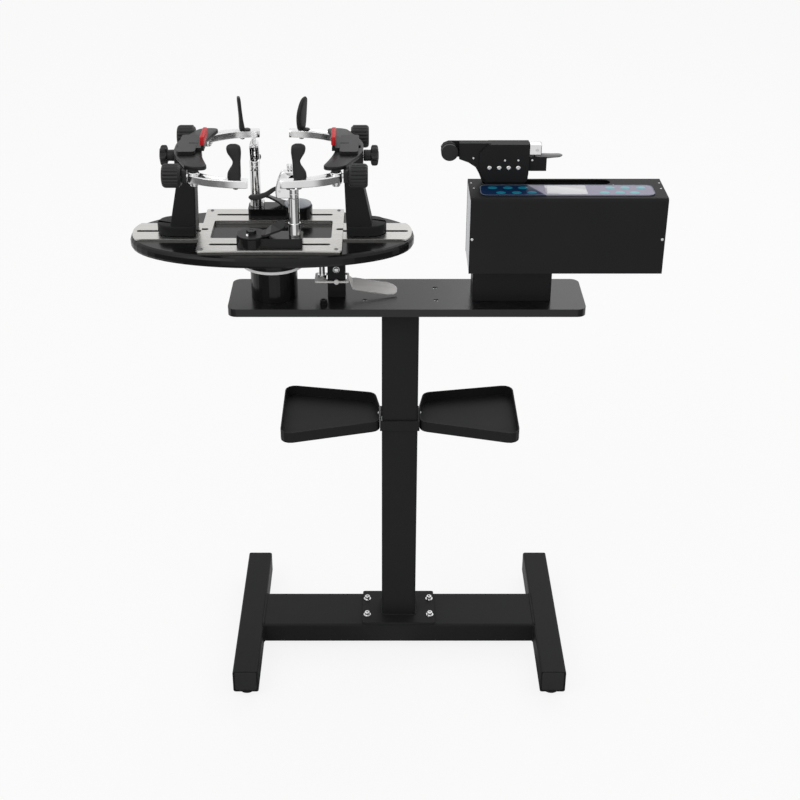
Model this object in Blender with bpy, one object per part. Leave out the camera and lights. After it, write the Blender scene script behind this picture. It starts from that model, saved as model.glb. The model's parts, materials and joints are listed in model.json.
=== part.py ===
"""Racket stringing machine: an H foot, post and top plate that carry an oval turntable and a tension head.

Metres, +Z up, +X to the machine's right, -Y towards the person who uses it. The origin is on the floor
under the middle of the overall box. Every sub-part is one object on its own joint axis.
"""

import math

import bmesh
import bpy
import numpy as np
from mathutils import Matrix, Vector

# Clearances between pieces
GAP = 0.0003
RUNNING = 0.0003
SLOT_PLAY = 0.0003

# Foot, post and top plate
FOOT_RADIUS = 0.013
FOOT_HEIGHT = 0.012
LEG_SIDE = 0.048
LEG_LENGTH = 0.388
BASE_WIDTH = 0.629
FRAME_WALL = 0.0025
TUBE_CORNER = 0.004
CROSSBAR_DEPTH = 0.104
CROSSBAR_HEIGHT = 0.042
FLANGE_WIDTH = 0.142
FLANGE_THICKNESS = 0.005
FLANGE_BOLT_X = 0.124
FLANGE_BOLT_Y = 0.052
FLANGE_HOLE_RADIUS = 0.0045
POST_WIDTH = 0.066
POST_DEPTH = 0.052
POST_WALL = 0.003
PLATE_TOP = 0.751
PLATE_THICKNESS = 0.0142
PLATE_LEFT = 0.300
PLATE_RIGHT = 0.321
PLATE_DEPTH = 0.130
PLATE_CORNER = 0.015

# Tool trays
TRAY_BOTTOM = 0.488
TRAY_HEIGHT = 0.0205
TRAY_WALL = 0.002
TRAY_REACH = 0.217
TRAY_CORNER = 0.018
TRAY_INNER_BACK = 0.082
TRAY_OUTER_FRONT = 0.078
TRAY_OUTER_BACK = 0.113
TRAY_INNER_SLANT = 0.009
COLLAR_WALL = 0.003

# Turntable: its axis is to the left of the post's
TURNTABLE_OFFSET = 0.2215
COLUMN_RADIUS = 0.041
COLUMN_HEIGHT = 0.060
SPINDLE_RADIUS = 0.015
SPINDLE_REACH = 0.050
SLIP_RING_RADIUS = 0.056
SLIP_RING_THICKNESS = 0.005
HUB_FLARE_RADIUS = 0.066
HUB_HEIGHT = 0.0295
DECK_LENGTH = 0.489
DECK_DEPTH = 0.228
DECK_THICKNESS = 0.020
DECK_FULLNESS = 2.2
DECK_POINTS = 64
DECK_EDGE = 0.006
RAIL_THICKNESS = 0.003
RAIL_WIDTH = 0.073
RAIL_INSET = 0.004
CLAMP_FRAME_LENGTH = 0.244
CLAMP_FRAME_DEPTH = 0.191
WINDOW_LENGTH = 0.206
WINDOW_DEPTH = 0.080
FRAME_CORNER = 0.004
SLOT_WIDTH = 0.008
TOWER_SLOT_INNER = 0.110
TOWER_SLOT_OUTER = 0.234
CLAMP_SLOT_LENGTH = 0.204
CLAMP_SLOT_INSET = 0.0275
KEY_HEAD_WIDTH = 0.0134
DECK_GROOVE_DEPTH = 0.0095

# Racket towers, measured outward from the turntable's axis
TOWER_FOOT_INNER = 0.1285
TOWER_FOOT_LENGTH = 0.068
TOWER_FOOT_DEPTH = 0.054
TOWER_FOOT_HEIGHT = 0.018
TOWER_BOTTOM_WIDTH = 0.044
TOWER_BOTTOM_DEPTH = 0.048
TOWER_TOP_INNER = 0.1245
TOWER_TOP_WIDTH = 0.030
TOWER_TOP_DEPTH = 0.040
TOWER_FOOT_CORNER = 0.014
TOWER_CORNER = 0.005
TOWER_HEIGHT = 0.1507
HEAD_PLATE_THICKNESS = 0.008
HEAD_BOSS_HEIGHT = 0.030
HEAD_BOSS_WIDTH = 0.052
HEAD_INNER = 0.112
HEAD_OUTER = 0.158
HEAD_WING_REACH = 0.108
HEAD_SHOULDER_OUTER = 0.155
HEAD_SHOULDER_INNER = 0.110
HEAD_SHOULDER_Y = 0.048
HEAD_WING_NECK_Y = 0.080
KNOB_AXIS_BELOW_TOP = 0.015
BLOCK_TRAVEL = 0.008
BLOCK_INNER = 0.119
BLOCK_OUTER = 0.150
BLOCK_WIDTH = 0.088
BLOCK_HEIGHT = 0.006
BLOCK_CORNER = 0.006
BLOCK_NOSE_INNER = 0.106
BLOCK_NOSE_WIDTH = 0.048
BLOCK_SLIT_WIDTH = 0.0024
BLOCK_SLIT_DEPTH = 0.003
FINGER_THICKNESS = 0.005
FINGER_WIDTH = 0.040
FINGER_HEIGHT = 0.0225
TONGUE_INNER = 0.130
TONGUE_LENGTH = 0.015
TONGUE_WIDTH = 0.0134
STAR_SCREW_RADIUS = 0.005
STAR_STEM_RADIUS = 0.012
STAR_STEM_LENGTH = 0.0130
STAR_RADIUS = 0.0175
STAR_LOBES = 6
STAR_LOBE_DEPTH = 0.0022
STAR_THICKNESS = 0.0124
ARM_KNOB_RADIUS = 0.0195
ARM_KNOB_LENGTH = 0.031
ARM_KNOB_RIBS = 12
ARM_KNOB_RIB_DEPTH = 0.0008
ARM_KNOB_Y = 0.100
ARM_SCREW_RADIUS = 0.004
LUG_INNER = 0.127
LUG_THICKNESS = 0.008
LUG_WIDTH = 0.026

# Side arms and supports
ARM_PIVOT_X = 0.115
ARM_PIN_RADIUS = 0.005
ARM_EYE_RADIUS = 0.009
ARM_EYE_HEIGHT = 0.0195
ARM_ROOT_WIDTH = 0.022
ARM_WIDTH = 0.014
ARM_HEIGHT = 0.013
ARM_END_X = 0.026
ARM_END_Y = 0.128
ARM_BOW_X = 0.082
ARM_BOW_Y = 0.127
ARM_STEPS = 10
SUPPORT_ALONG_ARM = {"front_left": 0.82, "front_right": 0.71, "rear_left": 0.71, "rear_right": 0.80}
SUPPORT_HEIGHT = 0.0585
SUPPORT_THICKNESS = 0.010
SUPPORT_FOOT_WIDTH = 0.027
SUPPORT_NECK_WIDTH = 0.015
SUPPORT_TOP_WIDTH = 0.025
SUPPORT_PIN_RADIUS = 0.003
SUPPORT_TURN = {"front_left": 0.0, "front_right": 0.0, "rear_left": 78.0, "rear_right": 60.0}

# String clamps
CLAMP_BASE_LENGTH = 0.112
CLAMP_BASE_DEPTH = 0.036
CLAMP_BASE_HEIGHT = 0.0167
CLAMP_BASE_CORNER = 0.005
CLAMP_KEY_LENGTH = 0.068
CLAMP_POST_FROM_MIDDLE = 0.0425
CLAMP_BASE_X = {"front": 0.0005, "rear": 0.0105}
CLAMP_HUB_FROM_MIDDLE = 0.030
CLAMP_ROUND_END_RADIUS = 0.026
POST_RADIUS = 0.009
POST_SLEEVE_RADIUS = 0.0103
POST_SLEEVE_HEIGHT = 0.022
POST_LENGTH = 0.066
POST_SPIGOT_RADIUS = 0.006
POST_BORE_FLOOR = 0.010
STEM_RADIUS = 0.006
STEM_LENGTH = 0.050
BASE_HUB_RADIUS = 0.0085
BASE_STUD_RADIUS = 0.003
BASE_HUB_HEIGHT = 0.0085
BASE_LEVER_THICKNESS = 0.0026
BASE_LEVER_REACH = 0.057
BASE_LEVER_WIDTH = 0.027
BASE_DISC_RADIUS = 0.0245
BASE_PADDLE_THICKNESS = 0.004
BASE_PADDLE_RISE = 0.0155
BASE_PADDLE_ROLL = 16.0
COLLAR_RADIUS = 0.0088
CLAMP_COLLAR_HEIGHT = 0.018
CLAMP_HEAD_WIDTH = 0.014
CLAMP_HEAD_HEIGHT = 0.047
CLAMP_FORK_GAP = 0.0056
FORK_DEPTH = 0.0068
FORK_RISE = 0.016
JAW_HEIGHT = 0.010
JAW_LENGTH = 0.019
JAW_THICKNESS = 0.0026
JAW_OPEN = 0.0014
JAW_TEETH = 4
JAW_NOTCH = 0.002
CLAMP_LEVER_PIVOT_U = 0.0225
CLAMP_LEVER_PIVOT_Z = 0.013
CLAMP_HUB_RADIUS = 0.006
CLAMP_PIN_RADIUS = 0.0025
CLAMP_HANDLE_WIDTH = 0.012

# Turntable brake
BRAKE_POST_FROM_AXIS = 0.1095
BRAKE_POST_WIDTH = 0.031
BRAKE_POST_DEPTH = 0.030
BRAKE_POST_HEIGHT = 0.061
BRAKE_POST_CORNER = 0.002
BRAKE_PIN_ARM = 0.0255
BRAKE_PIN_RADIUS = 0.005
BRAKE_THREAD_RADIUS = 0.003
BRAKE_NUT_RADIUS = 0.0075
BRAKE_NUT_HEIGHT = 0.005
BRAKE_PIVOT_HEIGHT = 0.031
BRAKE_PIVOT_RADIUS = 0.003
BRAKE_PLATE_THICKNESS = 0.003
BRAKE_STRIP_WIDTH = 0.0035
BRAKE_BOSS_RADIUS = 0.0045
BRAKE_RING_SIDE_PLAY = 0.0006
BRAKE_RING_END_PLAY = 0.0025
BRAKE_TAB_REACH = 0.038
BRAKE_NECK_LENGTH = 0.006
BRAKE_NECK_WIDTH = 0.014
BRAKE_PADDLE_LENGTH = 0.0785
BRAKE_PADDLE_WIDTH = 0.026
BRAKE_PADDLE_DROP_START = 0.011
BRAKE_PADDLE_DROP_END = 0.0235
BRAKE_PADDLE_ROLL = 30.0

# Tension head
HEAD_LEFT = 0.1137
HEAD_LENGTH = 0.3265
HEAD_FRONT = 0.080
HEAD_BACK = 0.020
HEAD_HEIGHT = 0.134
COVER_SHEET = 0.002
COVER_BEND = 0.005
CHASSIS_SHEET = 0.002
PEDESTAL_HEIGHT = 0.0734
PEDESTAL_LEFT = 0.125
PEDESTAL_WIDTH = 0.137
PEDESTAL_DEPTH = 0.060
PEDESTAL_WALL = 0.003
PEDESTAL_CORNER = 0.004
TRAVEL_SLOT_LEFT_PLAY = 0.0055
TRAVEL_SLOT_RIGHT_PLAY = 0.016
TRAVEL_SLOT_WIDTH = 0.024
KEYPAD_LEFT = 0.131
KEYPAD_LENGTH = 0.290
KEYPAD_DEPTH = 0.049
KEYPAD_BACK = 0.0185
KEYPAD_THICKNESS = 0.0012
KEYPAD_CORNER = 0.014
SCREW_Y = -0.030
SCREW_ABOVE_BOTTOM = 0.056
SCREW_RADIUS = 0.006
BEARING_THICKNESS = 0.008
BEARING_WIDTH = 0.040
BEARING_LEFT = 0.1225
BEARING_RIGHT = 0.366
GUIDE_WIDTH = 0.020
GUIDE_HEIGHT = 0.030
MOTOR_SIDE = 0.056
MOTOR_LENGTH = 0.044
MOTOR_CORNER = 0.006
SCREW_INTO_MOTOR = 0.0064
INLET_WIDTH = 0.027
INLET_HEIGHT = 0.020
INLET_DEPTH = 0.018
INLET_Y = -0.050
INLET_ABOVE_BOTTOM = 0.022
INLET_SHELL = 0.002

# Gripper: its left end and its nose along X from the post's axis, heights from the housing's top
CARRIAGE_LEFT = 0.142
CARRIAGE_LENGTH = 0.066
CARRIAGE_FRONT = 0.052
CARRIAGE_BACK = 0.011
CARRIAGE_HEIGHT = 0.040
GRIPPER_TRAVEL = 0.130
GRIPPER_WIDTH = 0.024
GRIPPER_CORE_WIDTH = 0.016
GRIPPER_TOP = 0.0693
GRIPPER_OVERHANG = 0.0055
NOSE_X = 0.0805
NOSE_ABOVE_HOUSING = 0.0555
NOSE_RADIUS = 0.0143
NOSE_LENGTH = 0.018
NOSE_FRONT = 0.014
NOSE_AXLE_RADIUS = 0.003
NOSE_CAP_SHARE = 0.2
SEAT_PLAY = 0.002
CAM_LENGTH = 0.0205
CAM_HEIGHT = 0.0165
CAM_WIDTH = 0.018
CAM_ABOVE_HOUSING = 0.0512
CAM_ROOT = 0.004
LEVER_PIN_RADIUS = 0.002
LEVER_REACH = 0.042
LEVER_THICKNESS = 0.0045
LEVER_HUB_RADIUS = 0.006
LEVER_PIN_SEAT = 0.006
SWITCH_LENGTH = 0.030
SWITCH_HEIGHT = 0.024

# Places that follow from the sizes above
DECK_HALF = DECK_LENGTH / 2
POST_X = (TURNTABLE_OFFSET + DECK_HALF - HEAD_LEFT - HEAD_LENGTH) / 2
TABLE_X = POST_X - TURNTABLE_OFFSET
LEG_TOP = FOOT_HEIGHT + LEG_SIDE
POST_BOTTOM = LEG_TOP + GAP
PLATE_BOTTOM = PLATE_TOP - PLATE_THICKNESS
COLUMN_TOP = PLATE_TOP + GAP + COLUMN_HEIGHT
SLIP_RING_TOP = COLUMN_TOP + GAP + SLIP_RING_THICKNESS
HUB_BOTTOM = SLIP_RING_TOP + GAP
HUB_TOP = HUB_BOTTOM + HUB_HEIGHT
DECK_BOTTOM = HUB_TOP + GAP
DECK_TOP = DECK_BOTTOM + DECK_THICKNESS
RAIL_BOTTOM = DECK_TOP + GAP
RAIL_TOP = RAIL_BOTTOM + RAIL_THICKNESS
CLAMP_FRAME_BOTTOM = RAIL_TOP + GAP
CLAMP_FRAME_TOP = CLAMP_FRAME_BOTTOM + RAIL_THICKNESS
TOWER_BOTTOM = RAIL_TOP + GAP
HEAD_PLATE_TOP = TOWER_BOTTOM + TOWER_HEIGHT
KNOB_Z = HEAD_PLATE_TOP - KNOB_AXIS_BELOW_TOP
HEAD_PLATE_BOTTOM = HEAD_PLATE_TOP - HEAD_PLATE_THICKNESS
BOSS_BOTTOM = HEAD_PLATE_TOP - HEAD_BOSS_HEIGHT
KNOB_INNER = LUG_INNER + LUG_THICKNESS + GAP
ARM_EYE_TOP = HEAD_PLATE_BOTTOM - GAP
ARM_EYE_BOTTOM = ARM_EYE_TOP - ARM_EYE_HEIGHT
ARM_BOTTOM = ARM_EYE_BOTTOM + (ARM_EYE_HEIGHT - ARM_HEIGHT) / 2
ARM_TOP = ARM_BOTTOM + ARM_HEIGHT
CLAMP_SLOT_Y = CLAMP_FRAME_DEPTH / 2 - CLAMP_SLOT_INSET
CLAMP_BASE_BOTTOM = CLAMP_FRAME_TOP + GAP
CLAMP_BASE_TOP = CLAMP_BASE_BOTTOM + CLAMP_BASE_HEIGHT
CLAMP_HEAD_BOTTOM = CLAMP_BASE_TOP + 2 * GAP + POST_LENGTH
HEAD_BOTTOM = PLATE_TOP + 2 * GAP + PEDESTAL_HEIGHT
HEAD_TOP = HEAD_BOTTOM + HEAD_HEIGHT
GRIPPER_RIGHT = CARRIAGE_LEFT + CARRIAGE_LENGTH + GRIPPER_OVERHANG
NOSE_Z = HEAD_TOP + NOSE_ABOVE_HOUSING
CAM_BOTTOM = HEAD_TOP + CAM_ABOVE_HOUSING
LEVER_BOTTOM = CAM_BOTTOM - GAP - LEVER_THICKNESS
SCREW_Z = HEAD_BOTTOM + SCREW_ABOVE_BOTTOM
GUIDE_TOP = HEAD_BOTTOM + CHASSIS_SHEET + GUIDE_HEIGHT
BRAKE_PIVOT_X = TABLE_X + BRAKE_POST_FROM_AXIS
BRAKE_PIVOT_Z = PLATE_TOP + BRAKE_PIVOT_HEIGHT


def clear_scene():
    for item in list(bpy.data.objects):
        bpy.data.objects.remove(item, do_unlink=True)


def finish(name, color, roughness, metallic):
    """A Principled material of one colour."""
    material = bpy.data.materials.new(name)
    material.use_nodes = True
    shader = material.node_tree.nodes["Principled BSDF"]
    shader.inputs["Base Color"].default_value = (*color, 1.0)
    shader.inputs["Roughness"].default_value = roughness
    shader.inputs["Metallic"].default_value = metallic
    return material


def mesh_object(name, solid, origin):
    """The object of a closed bmesh made in world space, with its own origin at the given point."""
    bmesh.ops.recalc_face_normals(solid, faces=solid.faces)
    bmesh.ops.translate(solid, verts=solid.verts, vec=-Vector(origin))
    mesh = bpy.data.meshes.new(name)
    solid.to_mesh(mesh)
    solid.free()
    item = bpy.data.objects.new(name, mesh)
    item.location = origin
    bpy.context.scene.collection.objects.link(item)
    return item


def smooth(mesh, angle=35.0):
    mesh.shade_smooth()
    mesh.set_sharp_from_angle(angle=math.radians(angle))


def combine(item, kind, tool):
    """Adds one Boolean step to a piece, with its tool as a hidden wire child."""
    number = len(item.modifiers)
    cutter = mesh_object(f"{item.name}_tool_{number}", tool, item.location)
    cutter.location = (0.0, 0.0, 0.0)
    cutter.parent = item
    cutter.hide_render = True
    cutter.display_type = "WIRE"
    boolean = item.modifiers.new(f"{kind.lower()} {number}", "BOOLEAN")
    boolean.operation = kind
    boolean.solver = "EXACT"
    boolean.object = cutter


def part(name, material, solid, origin=(0.0, 0.0, 0.0), join=(), cut=(), rejoin=()):
    """One sub-part: a base solid, joined with some solids, cut by others and joined with a last few."""
    item = mesh_object(name, solid, origin)
    for kind, tools in (("UNION", join), ("DIFFERENCE", cut), ("UNION", rejoin)):
        for tool in tools:
            combine(item, kind, tool)
    item.data.materials.append(material)
    smooth(item.data)
    return item


def to_world(plane, a, b, c):
    """A point at (a, b) in the named plane and c along the plane's normal."""
    places = {"XY": (a, b, c), "XZ": (a, c, b), "YZ": (c, a, b)}
    return Vector(places[plane])


def prism(outline, low, high, plane="XY"):
    """A closed outline in a plane, extruded along the plane's normal from low to high."""
    solid = bmesh.new()
    lower = [solid.verts.new(to_world(plane, a, b, low)) for a, b in outline]
    face = solid.faces.new(lower)
    raised = bmesh.ops.extrude_face_region(solid, geom=[face])
    moved = [v for v in raised["geom"] if isinstance(v, bmesh.types.BMVert)]
    bmesh.ops.translate(solid, verts=moved, vec=to_world(plane, 0.0, 0.0, high - low))
    return solid


def box(x, y, z):
    """A block between the two limits given for each axis."""
    outline = [(x[0], y[0]), (x[1], y[0]), (x[1], y[1]), (x[0], y[1])]
    return prism(outline, z[0], z[1])


def loft(sections):
    """A solid through matching closed sections, each a list of points, capped at both ends."""
    solid = bmesh.new()
    rings = [[solid.verts.new(point) for point in section] for section in sections]
    for lower, upper in zip(rings, rings[1:]):
        for i in range(len(lower)):
            j = (i + 1) % len(lower)
            solid.faces.new((lower[i], lower[j], upper[j], upper[i]))
    solid.faces.new(list(reversed(rings[0])))
    solid.faces.new(rings[-1])
    return solid


def circle(center, radius, steps):
    angles = np.linspace(0.0, 2.0 * math.pi, steps, endpoint=False)
    return [(center[0] + radius * math.cos(t), center[1] + radius * math.sin(t)) for t in angles]


def rod(center, radius, low, high, plane="XY", steps=20):
    return prism(circle(center, radius, steps), low, high, plane)


def turned(profile, center, steps=32):
    """A profile of (radius, height) points, from the axis back to the axis, turned round a vertical axis."""
    solid = bmesh.new()
    verts = [solid.verts.new((radius, 0.0, height)) for radius, height in profile]
    edges = [solid.edges.new(pair) for pair in zip(verts, verts[1:])]
    bmesh.ops.spin(
        solid,
        geom=verts + edges,
        cent=(0.0, 0.0, 0.0),
        axis=(0.0, 0.0, 1.0),
        angle=2.0 * math.pi,
        steps=steps,
        use_merge=True,
        use_duplicate=False,
    )
    bmesh.ops.remove_doubles(solid, verts=solid.verts, dist=1e-6)
    bmesh.ops.translate(solid, verts=solid.verts, vec=(center[0], center[1], 0.0))
    return solid


def rounded(points, radius, steps=3):
    """A polygon with its corners turned into arcs of the given radius."""
    outline = []
    count = len(points)
    for i in range(count):
        corner = Vector(points[i])
        before = (Vector(points[i - 1]) - corner).normalized()
        after = (Vector(points[(i + 1) % count]) - corner).normalized()
        half = before.angle(after) / 2.0
        reach = radius / math.tan(half)
        center = corner + (before + after).normalized() * (radius / math.sin(half))
        start = corner + before * reach - center
        end = corner + after * reach - center
        turn = start.angle_signed(end)
        for k in range(steps + 1):
            spoke = start.copy()
            spoke.rotate(Matrix.Rotation(-turn * k / steps, 2))
            outline.append(tuple(center + spoke))
    return outline


def inset(points, distance):
    """A convex counter-clockwise polygon with each side moved inward."""
    moved = []
    count = len(points)
    for i in range(count):
        corner = Vector(points[i])
        before = (corner - Vector(points[i - 1])).normalized()
        after = (Vector(points[(i + 1) % count]) - corner).normalized()
        normal = Vector((-before.y - after.y, before.x + after.x)).normalized()
        lean = normal.dot(Vector((-before.y, before.x)))
        moved.append(tuple(corner + normal * (distance / lean)))
    return moved


def rectangle(x, y):
    return [(x[0], y[0]), (x[1], y[0]), (x[1], y[1]), (x[0], y[1])]


def round_box(x, y, z, radius, plane="XY", steps=3):
    """A block whose four edges along the plane's normal are rounded. The limits are in the plane's order."""
    return prism(rounded(rectangle(x, y), radius, steps), z[0], z[1], plane)


def slot_outline(x, y, width, steps=4):
    """A slot with round ends along X between the two limits of its length."""
    half = width / 2.0
    return rounded(rectangle(x, (y - half, y + half)), half * 0.999, steps)


def make_leg(side, name, material):
    """A square tube along Y, open at both ends."""
    middle = POST_X + side * (BASE_WIDTH - LEG_SIDE) / 2.0
    half = LEG_SIDE / 2.0
    x = (middle - half, middle + half)
    y = (-LEG_LENGTH / 2.0, LEG_LENGTH / 2.0)
    z = (FOOT_HEIGHT, LEG_TOP)
    bore_x = (x[0] + FRAME_WALL, x[1] - FRAME_WALL)
    bore_z = (z[0] + FRAME_WALL, z[1] - FRAME_WALL)
    bore = box(bore_x, (2 * y[0], 2 * y[1]), bore_z)
    return part(name, material, round_box(x, z, y, TUBE_CORNER, "XZ"), cut=[bore])


def make_foot(side, end, name, material):
    """A turned rubber foot with a domed rim, under one end of a leg."""
    center = (
        POST_X + side * (BASE_WIDTH - LEG_SIDE) / 2.0,
        end * (LEG_LENGTH / 2.0 - LEG_SIDE / 2.0),
    )
    rim = FOOT_RADIUS * 0.72
    top = FOOT_HEIGHT - GAP
    profile = [(0.0, 0.0), (rim, 0.0), (FOOT_RADIUS, top * 0.55), (FOOT_RADIUS, top), (0.0, top)]
    return part(name, material, turned(profile, center, 20))


def make_crossbar(material):
    reach = BASE_WIDTH / 2.0 - LEG_SIDE - GAP
    x = (POST_X - reach, POST_X + reach)
    y = (-CROSSBAR_DEPTH / 2.0, CROSSBAR_DEPTH / 2.0)
    z = (LEG_TOP - CROSSBAR_HEIGHT, LEG_TOP)
    bore_y = (y[0] + FRAME_WALL, y[1] - FRAME_WALL)
    bore_z = (z[0] + FRAME_WALL, z[1] - FRAME_WALL)
    bore = box((x[0] - LEG_SIDE, x[1] + LEG_SIDE), bore_y, bore_z)
    body = round_box(y, z, x, TUBE_CORNER, "YZ")
    bolts = flange_holes(z[1] - 2 * FRAME_WALL, z[1] + FRAME_WALL)
    return part("crossbar", material, body, cut=[bore, *bolts])


def flange_holes(low, high):
    """The four bolt holes that both flanges, the crossbar and the top plate share."""
    places = [(i, j) for i in (-0.5, 0.5) for j in (-0.5, 0.5)]
    return [
        rod((POST_X + i * FLANGE_BOLT_X, j * FLANGE_BOLT_Y), FLANGE_HOLE_RADIUS, low, high, steps=12)
        for i, j in places
    ]


def make_post(material):
    """A flat tube welded between two drilled flanges, open from end to end."""
    low, high = POST_BOTTOM, PLATE_BOTTOM - GAP
    half_x, half_y = POST_WIDTH / 2.0, POST_DEPTH / 2.0
    body = round_box((POST_X - half_x, POST_X + half_x), (-half_y, half_y), (low, high), TUBE_CORNER)
    flanges = []
    for z in ((low, low + FLANGE_THICKNESS), (high - FLANGE_THICKNESS, high)):
        reach = FLANGE_WIDTH / 2.0
        depth = CROSSBAR_DEPTH / 2.0
        flanges.append(round_box((POST_X - reach, POST_X + reach), (-depth, depth), z, TUBE_CORNER))
    inner_x, inner_y = half_x - POST_WALL, half_y - POST_WALL
    bore = box((POST_X - inner_x, POST_X + inner_x), (-inner_y, inner_y), (low - POST_WALL, high + POST_WALL))
    drills = flange_holes(low - GAP, low + 2 * FLANGE_THICKNESS)
    drills += flange_holes(high - 2 * FLANGE_THICKNESS, high + GAP)
    return part("post", material, body, join=flanges, cut=[bore, *drills])


def tray_outline(side):
    """The tray's plan: its inner side runs along the collar and then slants away from the post."""
    inner = POST_WIDTH / 2.0 + COLLAR_WALL + 2 * GAP
    front = POST_DEPTH / 2.0 + COLLAR_WALL + GAP
    points = [
        (inner, -front),
        (TRAY_REACH, -TRAY_OUTER_FRONT),
        (TRAY_REACH, TRAY_OUTER_BACK),
        (inner + TRAY_INNER_SLANT, TRAY_INNER_BACK),
        (inner, front),
    ]
    if side < 0:
        points = [(-x, y) for x, y in reversed(points)]
    return [(POST_X + x, y) for x, y in points]


def make_tray(side, name, material):
    """A shallow pan with rounded corners."""
    plan = tray_outline(side)
    outer = prism(rounded(plan, TRAY_CORNER, 4), TRAY_BOTTOM, TRAY_BOTTOM + TRAY_HEIGHT)
    inner_plan = rounded(inset(plan, TRAY_WALL), TRAY_CORNER - TRAY_WALL, 4)
    inner = prism(inner_plan, TRAY_BOTTOM + TRAY_WALL, TRAY_BOTTOM + 2 * TRAY_HEIGHT)
    return part(name, material, outer, cut=[inner])


def make_collar(material):
    """The strap round the post that both trays are screwed to."""
    half_x = POST_WIDTH / 2.0 + GAP
    half_y = POST_DEPTH / 2.0 + GAP
    x = (POST_X - half_x - COLLAR_WALL, POST_X + half_x + COLLAR_WALL)
    y = (-half_y - COLLAR_WALL, half_y + COLLAR_WALL)
    z = (TRAY_BOTTOM, TRAY_BOTTOM + TRAY_HEIGHT)
    bore = box((POST_X - half_x, POST_X + half_x), (-half_y, half_y), (z[0] - COLLAR_WALL, z[1] + COLLAR_WALL))
    return part("tray_collar", material, box(x, y, z), cut=[bore])


def make_top_plate(material):
    x = (POST_X - PLATE_LEFT, POST_X + PLATE_RIGHT)
    y = (-PLATE_DEPTH / 2.0, PLATE_DEPTH / 2.0)
    plate = round_box(x, y, (PLATE_BOTTOM, PLATE_TOP), PLATE_CORNER, steps=5)
    drills = flange_holes(PLATE_BOTTOM - PLATE_THICKNESS, PLATE_TOP + PLATE_THICKNESS)
    return part("top_plate", material, plate, cut=drills)


def make_column(material):
    """The turntable's round column, bored for the spindle."""
    low = PLATE_TOP + GAP
    bore = SPINDLE_RADIUS + RUNNING
    profile = [(bore, low), (COLUMN_RADIUS, low), (COLUMN_RADIUS, COLUMN_TOP), (bore, COLUMN_TOP), (bore, low)]
    return part("turntable_column", material, turned(profile, (TABLE_X, 0.0), 40))


def make_slip_ring(material):
    low, high = COLUMN_TOP + GAP, SLIP_RING_TOP
    inner = SPINDLE_RADIUS + RUNNING
    outer = SLIP_RING_RADIUS
    profile = [(inner, low), (outer, low), (outer, high), (inner, high), (inner, low)]
    return part("slip_ring", material, turned(profile, (TABLE_X, 0.0), 40), (TABLE_X, 0.0, 0.0))


def make_spindle(material):
    """The hub disc under the deck with the spindle that turns in the column."""
    waist = HUB_BOTTOM + HUB_HEIGHT * 0.35
    profile = [
        (0.0, HUB_BOTTOM - SPINDLE_REACH),
        (SPINDLE_RADIUS, HUB_BOTTOM - SPINDLE_REACH),
        (SPINDLE_RADIUS, HUB_BOTTOM),
        (SLIP_RING_RADIUS, HUB_BOTTOM),
        (SLIP_RING_RADIUS, waist),
        (HUB_FLARE_RADIUS, HUB_TOP),
        (0.0, HUB_TOP),
    ]
    return part("turntable_spindle", material, turned(profile, (TABLE_X, 0.0), 40), (TABLE_X, 0.0, 0.0))


def oval(length, depth, steps):
    """A full oval: a superellipse a little squarer than an ellipse."""
    power = 2.0 / DECK_FULLNESS
    outline = []
    for t in np.linspace(0.0, 2.0 * math.pi, steps, endpoint=False):
        cos, sin = math.cos(t), math.sin(t)
        x = length / 2.0 * math.copysign(abs(cos) ** power, cos)
        y = depth / 2.0 * math.copysign(abs(sin) ** power, sin)
        outline.append((TABLE_X + x, y))
    return outline


def tower_slots(width, low, high, inner=TOWER_SLOT_INNER, outer=TOWER_SLOT_OUTER):
    """The two slots on the turntable's long axis, as cutting solids."""
    spans = [(TABLE_X + inner, TABLE_X + outer), (TABLE_X - outer, TABLE_X - inner)]
    return [prism(slot_outline(x, 0.0, width), low, high) for x in spans]


def clamp_slots(width, low, high):
    """The two slots that the clamp bases run in, as cutting solids."""
    half = CLAMP_SLOT_LENGTH / 2.0
    x = (TABLE_X - half, TABLE_X + half)
    return [prism(slot_outline(x, y, width), low, high) for y in (-CLAMP_SLOT_Y, CLAMP_SLOT_Y)]


def make_deck(material):
    """The oval board, its edge rounded top and bottom, with a groove under each tower slot."""
    rings = (
        (DECK_EDGE, DECK_BOTTOM),
        (DECK_EDGE * 0.3, DECK_BOTTOM + DECK_EDGE * 0.3),
        (0.0, DECK_BOTTOM + DECK_EDGE),
        (0.0, DECK_TOP - DECK_EDGE),
        (DECK_EDGE * 0.3, DECK_TOP - DECK_EDGE * 0.3),
        (DECK_EDGE, DECK_TOP),
    )
    sections = []
    for shrink, z in rings:
        plan = oval(DECK_LENGTH - 2 * shrink, DECK_DEPTH - 2 * shrink, DECK_POINTS)
        sections.append([(x, y, z) for x, y in plan])
    grooves = tower_slots(
        KEY_HEAD_WIDTH + 2 * SLOT_PLAY, DECK_TOP - DECK_GROOVE_DEPTH, DECK_TOP + DECK_THICKNESS
    )
    return part("turntable_deck", material, loft(sections), (TABLE_X, 0.0, 0.0), cut=grooves)


def window():
    half_x, half_y = WINDOW_LENGTH / 2.0, WINDOW_DEPTH / 2.0
    low, high = DECK_TOP, CLAMP_FRAME_TOP + RAIL_THICKNESS
    return round_box((TABLE_X - half_x, TABLE_X + half_x), (-half_y, half_y), (low, high), FRAME_CORNER)


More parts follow.
